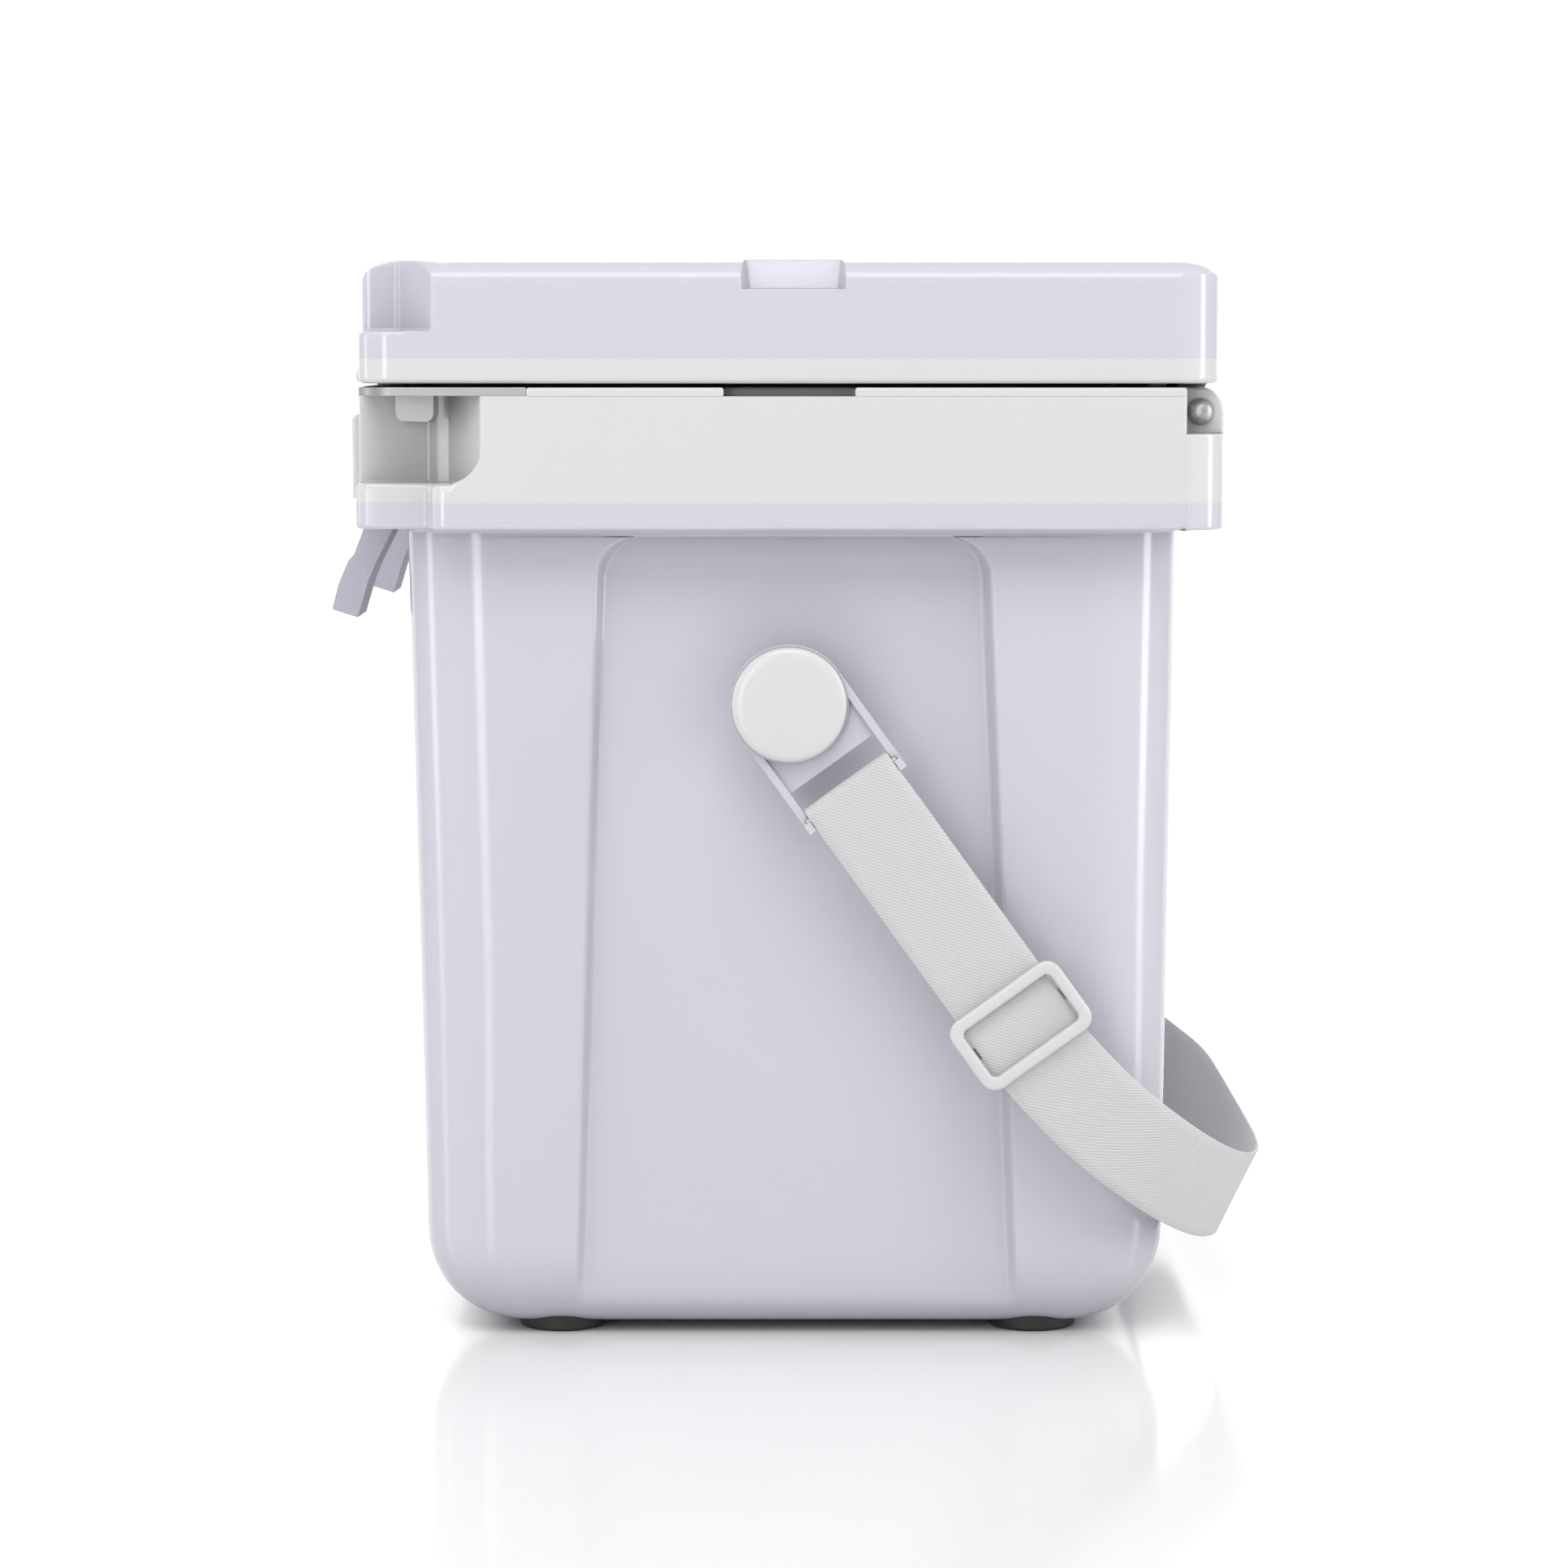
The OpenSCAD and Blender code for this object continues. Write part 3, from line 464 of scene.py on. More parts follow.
CHANNEL_X = (74.5, 101.5)
CHANNEL_BACK = -149.4
PAD_HALF = 152
PAD_TOP = 354.3
NOTCH_X, NOTCH_Y = 186.5, -133.9
POCKET_Z = 327.9
POCKET_R = 14
POCKET_START = -125.3     # where the pocket's rounded rear wall leaves its ledge
PLATE_Z = RIM_TOP - 3.2
CORNER_Z = 346.6
KNUCKLE_X = 186
SLOT_X = (169.0, 117.0)
SLOT_Z = 345.0
SLOT_BACK = 145.0
FINGER_Y, FINGER_DEEP, FINGER_Z = 24.4, 12, RIM_TOP - 3.3
BARREL_R = 8.9
KNUCKLE_Y = 148.2           # front end of the knuckle's recess
POCKET_IN = (168, -135)     # inner rear corner of the front corner's pocket
POCKET_BEND = (174, -128.6) # where the pocket's wall starts to slant outwards
POCKET_BACK = -115.0        # the slanting wall's end on the chest's side
PLATE_LEG_X = (150.5, 170)  # inner edges of the lock plate's two legs
PLATE_LEG_Y = (-131, -98.1) # rear edges of the two legs
CAVITY_HALF = (154.0, 114.5)
CAVITY_FLOOR = 38.0

rim_layout = [(4, 2), (3, 2), (3, 2), (4, 2),       # latch channel
              (4, 1), (3, 2),                       # end of the raised pad
              (4, 4), (5, 4), (5, 4), (4, 2), (4, 4),    # lock corner
              (4, 6), (3, 2), (3, 4), (3, 2), (4, 8),    # rest of the side with the finger notch
              (4, 3), (10, 3), (4, 2),              # rear corner
              (3, 2), (3, 3), (3, 2), (3, 10)]      # hinge slot


def rim_loop(z, lock="low", pad=False, finger=False, corner=False, slot=False, rear=None,
             z_rear=None):
    """Outline of the rim at a height. lock is the state of the front corner: low, pocket or
    plate. The other switches open a feature's recess at this height."""
    front = PAD_FRONT if pad else RIM_FRONT
    back = RIM_REAR if rear is None else rear
    zr = z if z_rear is None else z_rear
    c0, c1 = CHANNEL_X
    pts = [(c0, front, z, 1.6), (c0, CHANNEL_BACK, z, 2.0), (c1, CHANNEL_BACK, z, 2.0),
           (c1, front, z, 1.6),
           (PAD_HALF, front, z, 2.5), (PAD_HALF + 1.5, RIM_FRONT, z, 0.4)]
    if lock == "low":
        pts += [(170, RIM_FRONT, z, 1.0), (NOTCH_X, RIM_FRONT, z, 4.5),
                (NOTCH_X, NOTCH_Y, z, 3.5), (HALF_W, NOTCH_Y, z, 4.0),
                (HALF_W, POCKET_START, z, 1.0)]
    elif lock == "pocket":
        rise = max(0.0, POCKET_Z + POCKET_R - z)
        wall = POCKET_BACK - POCKET_R + math.sqrt(max(POCKET_R ** 2 - rise ** 2, 0))
        if wall > -128.2:    # the rear wall meets the slanting deep wall
            bend_x, bend_y = POCKET_BEND
            slant = (POCKET_BACK - bend_y) / (HALF_W - bend_x)
            x_meet = bend_x + (wall - bend_y) / slant
            x_meet = min(max(x_meet, bend_x + 2.5), HALF_W - 2)
            y_meet = min(wall, POCKET_BACK - (HALF_W - x_meet) * slant)
            deep = [(bend_x, bend_y, z, 2.5), (x_meet, y_meet, z, 0.8)]
        else:
            slant = (POCKET_BEND[0] - POCKET_IN[0]) / (POCKET_BEND[1] - POCKET_IN[1])
            x_meet = POCKET_IN[0] + (wall - POCKET_IN[1]) * slant
            deep = [(x_meet, wall, z, 0.8), (x_meet + 4, wall, z, 0.8)]
        pts += [(POCKET_IN[0], RIM_FRONT, z, 1.6), (*POCKET_IN, z, 6.0), *deep,
                (HALF_W, wall, z, 1.2)]
    else:
        x0, x1 = PLATE_LEG_X
        y0, y1 = PLATE_LEG_Y
        pts += [(x0, RIM_FRONT, z, 0.5), (x0, y0, z, 0.5), (x1, y0, z, 0.5),
                (x1, y1, z, 0.5), (HALF_W, y1, z, 0.5)]
        pts[4] = (128.0, front, z, 0.4)
        pts[5] = (140.0, RIM_FRONT, z, 0.4)
    inner = HALF_W - FINGER_DEEP if finger else HALF_W
    pts += [(HALF_W, -60, z, 1.0),
            (HALF_W, -FINGER_Y, z, 0.8), (inner, -FINGER_Y + (0 if finger else 3), z, 0.8),
            (inner, FINGER_Y - (0 if finger else 3), z, 0.8), (HALF_W, FINGER_Y, z, 0.8)]
    if corner:
        pts += [(HALF_W, KNUCKLE_Y, z, 1.4), (KNUCKLE_X, KNUCKLE_Y, z, 1.2),
                (KNUCKLE_X, back, zr, 1.5)]
    else:
        pts += [(HALF_W, 147.0, z, 1.0), (HALF_W, back, z, 15.5), (183.5, back, zr, 1.0)]
    s0, s1 = SLOT_X
    if slot:
        pts += [(s0, back, zr, 0.6), (s0, SLOT_BACK, z, 0.6), (s1, SLOT_BACK, z, 0.6),
                (s1, back, zr, 0.6)]
    else:
        pts += [(s0, back, zr, 0.6), (s0 - 12, back, zr, 0.6), (s1 + 12, back, zr, 0.6),
                (s1, back, zr, 0.6)]
    return mirrored(pts, rim_layout, 8)


def mouth_loop(half_x, half_y, r, z):
    """Loop round the cavity with the same columns as the rim."""
    c0, c1 = CHANNEL_X
    x, y = half_x, half_y
    pts = [(c0, -y, z, 1), (c0 + 8, -y, z, 1), (c1 - 8, -y, z, 1), (c1, -y, z, 1),
           (c1 + 8, -y, z, 1), (x - r - 2, -y, z, 1),
           (x - r * 0.75, -y + r * 0.07, z, 1), (x - r * 0.293, -y + r * 0.293, z, r * 0.8),
           (x - r * 0.07, -y + r * 0.75, z, 1), (x, -y + r + 2, z, 1),
           (x, -y + r + 10, z, 1), (x, -60, z, 1), (x, -50, z, 1),
           (x, -20, z, 1), (x, 20, z, 1), (x, 28, z, 1)]
    pts += [(x, y - r - 1, z, 1), (x, y, z, r), (x - r - 1, y, z, 1),
            (x - r - 6, y, z, 1), (x - r - 12, y, z, 1), (70, y, z, 1), (60, y, z, 1)]
    return mirrored(pts, rim_layout, 8)


def make_inner_liner():
    skin = Skin()
    # raised pad: its lower edge is on the flange, so it starts at once
    rows = [rim_loop(RIM_SPLIT, pad=True), rim_loop(POCKET_Z - 3, pad=True)]
    open_corner = at_height(rim_loop(POCKET_Z + 0.5, "pocket", pad=True), POCKET_Z)
    rows += ledge(rim_loop(POCKET_Z, pad=True), open_corner, 2.6, 0.5)
    for t in np.linspace(0.3, math.pi / 2, 10):
        rows.append(rim_loop(POCKET_Z + POCKET_R * (1 - math.cos(t)), "pocket", pad=True))
    rows += ledge(rim_loop(SLOT_Z, "pocket", pad=True),
                  rim_loop(SLOT_Z, "pocket", pad=True, slot=True), 0.6, 0.4, 2)
    rows += ledge(rim_loop(CORNER_Z, "pocket", pad=True, slot=True),
                  rim_loop(CORNER_Z, "pocket", pad=True, slot=True, corner=True), 0.8, 0.4, 2)
    lower = rim_loop(PAD_TOP - 1.2, "pocket", pad=True, slot=True, corner=True)
    upper = rim_loop(PAD_TOP - 1.2, "pocket", slot=True, corner=True)
    rows += ledge(lower, upper, 2.5, 0.3)

    def above(z, turn, **features):
        """Row above the pin's centre, where the rear follows the hinge barrel."""
        return rim_loop(z, slot=True, corner=True,
                        rear=hinge_y + BARREL_R * math.cos(turn),
                        z_rear=hinge_z + (RIM_TOP - hinge_z) * math.sin(turn), **features)

    plate_turn = math.radians(25)
    rows += [above(hinge_z + 1, 0, lock="pocket"), above(hinge_z + 3, plate_turn / 2,
                                                         lock="pocket")]
    rows += [above(PLATE_Z, plate_turn, lock="pocket"), above(PLATE_Z, plate_turn, lock="plate")]
    rows += [above(FINGER_Z, plate_turn + 0.02, lock="plate"),
             above(FINGER_Z + 0.01, plate_turn + 0.03, lock="plate", finger=True)]
    last = above(RIM_TOP - 1.2, math.radians(38), lock="plate", finger=True)
    for t in np.linspace(0, 1, 5):
        turn = math.radians(38 + 44 * t)
        row = above(RIM_TOP - 1.2 + 1.2 * math.sin(t * math.pi / 2), turn, lock="plate",
                    finger=True)
        side = shrink(row, 1.2 * (1 - math.cos(t * math.pi / 2)))
        keep = row[:, 1] > hinge_y - 0.5
        side[keep] = row[keep]
        rows.append(side)
    rows.append(at_height(rows[-1], RIM_TOP))
    _, deck = skin.rows(rows)
    rows = [at_height(mouth_loop(CAVITY_HALF[0] + 3, CAVITY_HALF[1] + 3, 33, 0), RIM_TOP)]
    for t in np.linspace(0, math.pi / 2, 5):
        grow = 3 * (1 - math.sin(t))
        rows.append(mouth_loop(CAVITY_HALF[0] + grow, CAVITY_HALF[1] + grow, 30 + grow,
                               RIM_TOP - 3 * (1 - math.cos(t))))
    bottom_r = 14
    for t in np.linspace(0, math.pi / 2, 7):
        grow = -4 - bottom_r * (1 - math.cos(t))
        rows.append(mouth_loop(CAVITY_HALF[0] + grow, CAVITY_HALF[1] + grow, 30 + grow * 0.4,
                               CAVITY_FLOOR + bottom_r * (1 - math.sin(t))))
    mouth, last_ids = skin.rows(rows)
    skin.cap(last_ids)
    skin.fill_between(deck, mouth)
    return skin.make("inner_liner_shell", "chest", WHITE)


# ------------------------------------------------------------------ lid

LEDGE_Z = 384.8
LIP_TOP = 379.5
RECESS_TOP = 398.0
RECESS_BACK = -144.5
SIDE_NOTCH = (-18.0, 21.0)
SIDE_NOTCH_Z = 400.4
SIDE_NOTCH_DEEP = 9.0
CROWN_TOP = LID_TOP + 1.3   # the moulded crown stands a little above the plain CAD lid
CROWN_REACH = 23.0
CROWN_RISE = 9.5
CROWN_POWER = 2.5

lid_layout = [(4, 2), (3, 2), (3, 2), (4, 2),       # latch recess
              (4, 1), (3, 2),                       # end of the front lip
              (4, 6), (8, 5), (4, 8),               # front corner
              (4, 3), (4, 5), (4, 3), (4, 12),      # side notch
              (12, 12)]                             # rear corner


def lip_front(z):
    """Front face of the lid's flared lower lip at a height."""
    drop = np.clip((LIP_TOP - z) / (LIP_TOP - LID_BOTTOM), 0, 1)
    return LID_FRONT - 4.7 * math.sin(drop * math.pi / 2) ** 1.2


def lid_loop(z, recess=True, notch=False, side=False, deep=0.0):
    c0, c1 = CHANNEL_X
    front = lip_front(z)
    if recess:
        pts = [(c0, front, z, 1.6), (c0, RECESS_BACK, z, 2.5), (c1, RECESS_BACK, z, 2.5),
               (c1, front, z, 1.6)]
    else:
        pts = [(c0, front, z, 1.6), (c0 + 6, front, z, 1), (c1 - 6, front, z, 1),
               (c1, front, z, 1.6)]
    pts += [(PAD_HALF - 1, front, z, 2.0), (PAD_HALF + 1.5, LID_FRONT, z, 1.0)]
    if notch:
        pts += [(173, LID_FRONT, z, 2.2), (173, -147.1, z, 3.0), (HALF_W, -133.1, z, 1.6)]
    else:
        pts += [(182, LID_FRONT, z, 1.0), (HALF_W, LID_FRONT, z, 11), (HALF_W, -143, z, 1.0)]
    y0, y1 = SIDE_NOTCH
    if side:
        back = HALF_W - SIDE_NOTCH_DEEP - deep
        pts += [(HALF_W, y0, z, 1.0), (back, y0 + 3 - deep * 0.3, z, 1.2),
                (back, y1 - 3 + deep * 0.3, z, 1.2), (HALF_W, y1, z, 1.0)]
    else:
        pts += [(HALF_W, y0, z, 1.0), (HALF_W, y0 + 6, z, 1.0), (HALF_W, y1 - 6, z, 1.0),
                (HALF_W, y1, z, 1.0)]
    pts += [(HALF_W, LID_REAR, z, 18)]
    return mirrored(pts, lid_layout, 10)


def lid_core(inset, r, z):
    """Loop well inside the lid's edge, with the same columns."""
    x, y = HALF_W - inset, LID_REAR - inset
    c0, c1 = CHANNEL_X
    pts = [(c0, -y, z, 1), (c0 + 6, -y, z, 1), (c1 - 6, -y, z, 1), (c1, -y, z, 1),
           (c1 + 10, -y, z, 1), (c1 + 20, -y, z, 1),
           (x - r - 3, -y, z, 1), (x, -y, z, r), (x, -y + r + 3, z, 1)]
    y0, y1 = SIDE_NOTCH
    pts += [(x, y0, z, 1), (x, y0 + 6, z, 1), (x, y1 - 6, z, 1), (x, y1, z, 1), (x, y, z, r)]
    return mirrored(pts, lid_layout, 10)


def edge_distance(points):
    """How far each point is inside the lid's plain rounded outline."""
    radius = 16.0
    q = np.abs(points[:, :2]) - (HALF_W - radius, LID_REAR - radius)
    outside = np.linalg.norm(np.maximum(q, 0), axis=1)
    return radius - outside - np.minimum(q.max(axis=1), 0)


def crown(points):
    """Height of the lid's top: flat in the middle, rolling over towards the edge."""
    u = np.clip(1 - edge_distance(points) / CROWN_REACH, 0, 1)
    return CROWN_TOP - CROWN_RISE * (1 - (1 - u ** CROWN_POWER) ** (1 / CROWN_POWER))


def make_lid_top():
    skin = Skin()
    rows = [lid_loop(LID_SPLIT), lid_loop(LID_SPLIT + 1.7), lid_loop(LID_SPLIT + 3.4),
            lid_loop(LIP_TOP), lid_loop(LIP_TOP + 1)]
    rows += ledge(lid_loop(LEDGE_Z), lid_loop(LEDGE_Z, notch=True), 1.8, 1.4)
    rows += ledge(lid_loop(RECESS_TOP, notch=True), lid_loop(RECESS_TOP, False, notch=True),
                  0.8, 0.8)
    rows += ledge(lid_loop(SIDE_NOTCH_Z, False, notch=True),
                  lid_loop(SIDE_NOTCH_Z, False, notch=True, side=True), 0.5, 0.1, 2)
    base = lid_loop(SIDE_NOTCH_Z + 0.5, False, notch=True, side=True)
    top = lid_loop(SIDE_NOTCH_Z + 0.5, False, notch=True, side=True, deep=5.0)
    rows.append(base)
    inside = np.clip(edge_distance(top) / 8, 0, 1)
    fillet = 1.3 * inside
    end = crown(top) - fillet
    for t in np.linspace(0, 1, 4)[1:]:
        row = base + (top - base) * t
        row[:, 2] = base[:, 2] + np.maximum(end - base[:, 2], 0.02) * t
        rows.append(row)
    wall = rows[-1]
    core = lid_core(42, 22, 0)
    whole = CROWN_REACH / 42
    angles = np.linspace(0, math.pi / 2, 15)[1:]
    for share in [*(whole * (1 - np.cos(angles) ** (2 / CROWN_POWER))), 0.86, 1.0]:
        row = wall + (core - wall) * share
        near = np.linalg.norm((row - wall)[:, :2], axis=1)
        drop = fillet - np.sqrt(np.maximum(fillet ** 2 - np.maximum(fillet - near, 0) ** 2, 0))
        row[:, 2] = crown(row) - drop
        rows.append(row)
    _, last = skin.rows(rows)
    skin.cap(last)
    return skin.make("lid_top_shell", "lid", LAVENDER)


LID_FILLET = 2.4
PLUG_Z = 352.0
GASKET_IN = (159.0, 119.5)
GASKET_W = 6.0


def gasket_loop(grow, r, z):
    """Loop under the lid, growing outwards from the gasket's inner edge."""
    x, y = GASKET_IN[0] + grow, GASKET_IN[1] + grow
    c0, c1 = CHANNEL_X
    pts = [(c0, -y, z, 1), (c0 + 6, -y, z, 1), (c1 - 6, -y, z, 1), (c1, -y, z, 1),
           (c1 + 5, -y, z, 1), (c1 + 10, -y, z, 1),
           (x - r - 1, -y, z, 1), (x, -y, z, r), (x, -y + r + 1, z, 1)]
    y0, y1 = SIDE_NOTCH
    pts += [(x, y0, z, 1), (x, y0 + 6, z, 1), (x, y1 - 6, z, 1), (x, y1, z, 1), (x, y, z, r)]
    return mirrored(pts, lid_layout, 10)


def make_lid_liner():
    skin = Skin()
    heights = [LID_SPLIT, LID_SPLIT - 2.4, LID_SPLIT - 4.8, LID_BOTTOM + LID_FILLET]
    rows = [lid_loop(z) for z in heights]
    edge = lid_loop(LID_BOTTOM + LID_FILLET)
    for t in np.linspace(0, math.pi / 2, 6)[1:]:
        rows.append(at_height(shrink(edge, LID_FILLET * 0.8 * (1 - math.cos(t))),
                              LID_BOTTOM + LID_FILLET * (1 - math.sin(t))))
    rows.append(gasket_loop(GASKET_W + 1.5, 31, LID_BOTTOM))
    for grow, drop in ((-0.6, 0.0), (-5.0, 0.0), (-7.5, 0.3), (-9.5, 1.6), (-10.4, 4.0)):
        rows.append(gasket_loop(grow, 22, LID_BOTTOM - drop))
    low = 4.0
    for t in np.linspace(0, math.pi / 2, 6):
        rows.append(gasket_loop(-11 - low * (1 - math.cos(t)), 20,
                                PLUG_Z + low * (1 - math.sin(t))))
    rows.append(gasket_loop(-26, 12, PLUG_Z))
    rows.append(gasket_loop(-28.5, 11, PLUG_Z + 1.6))
    _, last = skin.rows(rows, flip=True)
    skin.cap(last, flip=True)
    return skin.make("lid_liner_shell", "lid", WHITE)


outer_body = make_outer_body()
inner_liner = make_inner_liner()
lid_top = make_lid_top()
lid_liner = make_lid_liner()


def rod_rows(r, x0, x1, y, z, edge):
    """Rows of a round bar along X with rounded ends."""
    count = 40
    rows = []
    for x, way in ((x0, 1), (x1, -1)):
        steps = np.linspace(0, math.pi / 2, 4)
        if way < 0:
            steps = steps[::-1]
        for t in steps:
            rr = r - edge * (1 - math.sin(t))
            xx = x + way * edge * (1 - math.cos(t))
            rows.append([(xx, y + rr * math.cos(a), z + rr * math.sin(a))
                         for a in np.linspace(0, 2 * math.pi, count, endpoint=False)])
    return rows


def add_solid(skin, rows):
    first, last = skin.rows(rows)
    skin.cap(first, flip=True)
    skin.cap(last)


def make_knuckles():
    skin = Skin()
    for side in (-1, 1):
        x0, x1 = sorted((side * (SLOT_X[1] + 0.5), side * (SLOT_X[0] - 0.5)))
        add_solid(skin, rod_rows(8.5, x0, x1, hinge_y, hinge_z, 0.8))
        web = []
        for z, grow in ((hinge_z, 0), (LID_BOTTOM - 2.5, 0), (LID_BOTTOM - 1, 0.5),
                        (LID_BOTTOM + 0.4, 2.2)):
            web.append(outline([(x0 - grow, 147.2 - grow, z, 0.8),
                                (x1 + grow, 147.2 - grow, z, 0.8),
                                (x1 + grow, 157.4 + grow * 0.6, z, 0.8),
                                (x0 - grow, 157.4 + grow * 0.6, z, 0.8)], [(3, 1)] * 4))
        add_solid(skin, web)
    return skin.make("lid_knuckles", "lid", WHITE)


knuckles = make_knuckles()
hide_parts("lid_liner")
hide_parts("outer_body")
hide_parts("inner_liner")
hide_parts("lid_top")


# ------------------------------------------------------------------ webbing

WEB_W, WEB_T = 38.0, 1.5
BAR_X, BAR_R = 205.0, 2.0
STRAP_DOWN = math.radians(54.2)
BAR_REACH, SLIDER_REACH = 38.8, 148.2
PLY_OUT = BAR_X + BAR_R + 0.05 + WEB_T / 2
PLY_IN = BAR_X - BAR_R - 0.05 - WEB_T / 2
RUN = [(207.6, 98.9, 109.6), (206.8, 117.6, 90.2), (202.8, 135.4, 75.4), (191.5, 151.6, 63.4),
       (170, 165.2, 54.6), (141, 173.8, 50.4), (105, 177.4, 49), (50, 177.9, 49),
       (0, 177.9, 49)]
RUN_TURN = [35.8, 39, 44, 50, 57, 63, 65.8, 66, 66]
END_TURN = 90 - math.degrees(STRAP_DOWN)


def strap_point(reach, x):
    """Point at a distance from the pivot along the hanging strap."""
    return np.array((x, reach * math.cos(STRAP_DOWN), pivot_z - reach * math.sin(STRAP_DOWN)))


def smooth_path(values, spans):
    values = np.array(values, float)
    out = []
    for i in range(len(values) - 1):
        a, b = values[max(i - 1, 0)], values[i]
        c, d = values[i + 1], values[min(i + 2, len(values) - 1)]
        for t in np.arange(spans) / spans:
            out.append(0.5 * (2 * b + (c - a) * t + (2 * a - 5 * b + 4 * c - d) * t * t
                              + (3 * b - a - 3 * c + d) * t ** 3))
    return np.array(out + [values[-1]])


def doubled_end(tail, bulge):
    """Inner ply from its cut end to the crossbar, round it, and out to the slider."""
    points = [strap_point(BAR_REACH + tail * k / 20, PLY_IN) for k in range(20, -1, -1)]
    radius = (PLY_OUT - PLY_IN) / 2
    for t in np.linspace(0, math.pi, 13)[1:-1]:
        points.append(strap_point(BAR_REACH - radius * math.sin(t), BAR_X - radius * math.cos(t)))
    length = SLIDER_REACH - BAR_REACH
    for k in range(37):
        reach = BAR_REACH + length * k / 36
        rise = 1.3 * max(0.0, math.cos((reach - SLIDER_REACH) / 9.0 * math.pi / 2)) if (
            SLIDER_REACH - reach < 9) else 0.0
        points.append(strap_point(reach, PLY_OUT + rise * bulge))
    return points


def strap_path():
    near = doubled_end(SLIDER_REACH - BAR_REACH - 4.6, 1)
    far = [p * (-1, 1, 1) for p in doubled_end(60, 0)]
    loose = smooth_path([near[-1]] + [np.array(p, float) for p in RUN], 8)
    angle = smooth_path([[a] for a in [END_TURN] + RUN_TURN], 8)[:, 0]
    back = loose[:-1][::-1] * (-1, 1, 1)
    middle = np.vstack([loose[1:], back[:-1]])
    turns = np.concatenate([angle[1:], angle[:-1][::-1][:-1]])
    points = np.vstack([near, middle, far[::-1]])
    widths = np.concatenate([np.full(len(near), END_TURN), turns, np.full(len(far), END_TURN)])
    return points, np.radians(widths)


def make_webbing():
    points, angle = strap_path()
    ahead = np.gradient(points, axis=0)
    ahead /= np.linalg.norm(ahead, axis=1)[:, None]
    wide = np.column_stack([np.zeros(len(angle)), np.cos(angle), np.sin(angle)])
    wide -= (wide * ahead).sum(1)[:, None] * ahead
    wide /= np.linalg.norm(wide, axis=1)[:, None]
    thick = np.cross(ahead, wide)
    along = np.concatenate([[0], np.cumsum(np.linalg.norm(np.diff(points, axis=0), axis=1))])
    half, edge = WEB_W / 2, 0.6
    section = [(-half + edge, -WEB_T / 2), *[(x, -WEB_T / 2) for x in np.linspace(-15, 15, 7)],
               (half - edge, -WEB_T / 2), (half, -0.25), (half, 0.25), (half - edge, WEB_T / 2),
               *[(x, WEB_T / 2) for x in np.linspace(15, -15, 7)], (-half + edge, WEB_T / 2),
               (-half, 0.25), (-half, -0.25)]
    rows = [[p + w * a + n * b for a, b in section] for p, w, n in zip(points, wide, thick)]
    count = len(section)
    mesh = bpy.data.meshes.new("strap_webbing_ribbon")
    faces = []
    for i in range(len(rows) - 1):
        for j in range(count):
            k = (j + 1) % count
            faces.append((i * count + j, i * count + k, (i + 1) * count + k, (i + 1) * count + j))
    last = (len(rows) - 1) * count
    faces += [tuple(reversed(range(count))), tuple(range(last, last + count))]
    mesh.from_pydata([tuple(p * MM) for row in rows for p in row], [], faces)
    layer = mesh.uv_layers.new(name="weave")
    for face in mesh.polygons:
        for loop in face.loop_indices:
            row, col = divmod(mesh.loops[loop].vertex_index, count)
            layer.data[loop].uv = (section[col][0] * MM, along[row] * MM)
    ribbon = finished(mesh, "strap_webbing_ribbon", "strap", WEBBING, 50, False)
    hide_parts("strap_webbing")


def weave_material():
    mat, tree, shader, coords = node_material("webbing")
    uv = tree.nodes.new("ShaderNodeUVMap")
    uv.uv_map = "weave"

    def rib(angle, pitch):
        turn = tree.nodes.new("ShaderNodeMapping")
        turn.inputs["Rotation"].default_value = (0, 0, math.radians(angle))
        wave = tree.nodes.new("ShaderNodeTexWave")
        wave.inputs["Scale"].default_value = 0.314 / (pitch * MM)
        wave.inputs["Distortion"].default_value = 0.6
        tree.links.new(uv.outputs["UV"], turn.inputs["Vector"])
        tree.links.new(turn.outputs["Vector"], wave.inputs["Vector"])
        return wave.outputs["Fac"]

    both = tree.nodes.new("ShaderNodeMath")
    both.operation = "ADD"
    tree.links.new(rib(38, 1.1), both.inputs[0])
    tree.links.new(ramp(tree, rib(90, 0.8), 0, 0.35), both.inputs[1])
    colour = tint(tree, ramp(tree, both.outputs["Value"], 0, 0.8), (0.49, 0.49, 0.495),
                  (0.645, 0.645, 0.65))
    tree.links.new(colour, shader.inputs["Base Color"])
    shader.inputs["Roughness"].default_value = 0.75
    shader.inputs["Sheen Weight"].default_value = 0.25
    bump(tree, both.outputs["Value"], shader, 0.5, 0.0002)
    return mat


WEBBING = weave_material()
make_webbing()


# ------------------------------------------------------------------ softened copies of CAD nodes

def softened(node, material, width, segments=3, angle=32):
    """Replaces a CAD node with a copy whose edges are rounded."""
    source = frame["nodes"][node]
    mesh = source.data.copy()
    mesh.name = node + "_soft"
    mesh.materials.clear()
    bm = bmesh.new()
    bm.from_mesh(mesh)
    bmesh.ops.remove_doubles(bm, verts=bm.verts, dist=1e-6)
    bmesh.ops.dissolve_limit(bm, angle_limit=math.radians(0.6), verts=bm.verts, edges=bm.edges)
    bm.to_mesh(mesh)
    bm.free()
    obj = finished(mesh, node + "_soft", source["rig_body"], material)
    edge = obj.modifiers.new("rounded_edges", "BEVEL")
    edge.width = width * MM
    edge.segments = segments
    edge.limit_method = "ANGLE"
    edge.angle_limit = math.radians(angle)
    edge.use_clamp_overlap = True
    edge.harden_normals = False
    obj.modifiers.move(len(obj.modifiers) - 1, 0)
    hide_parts(node)
    return obj


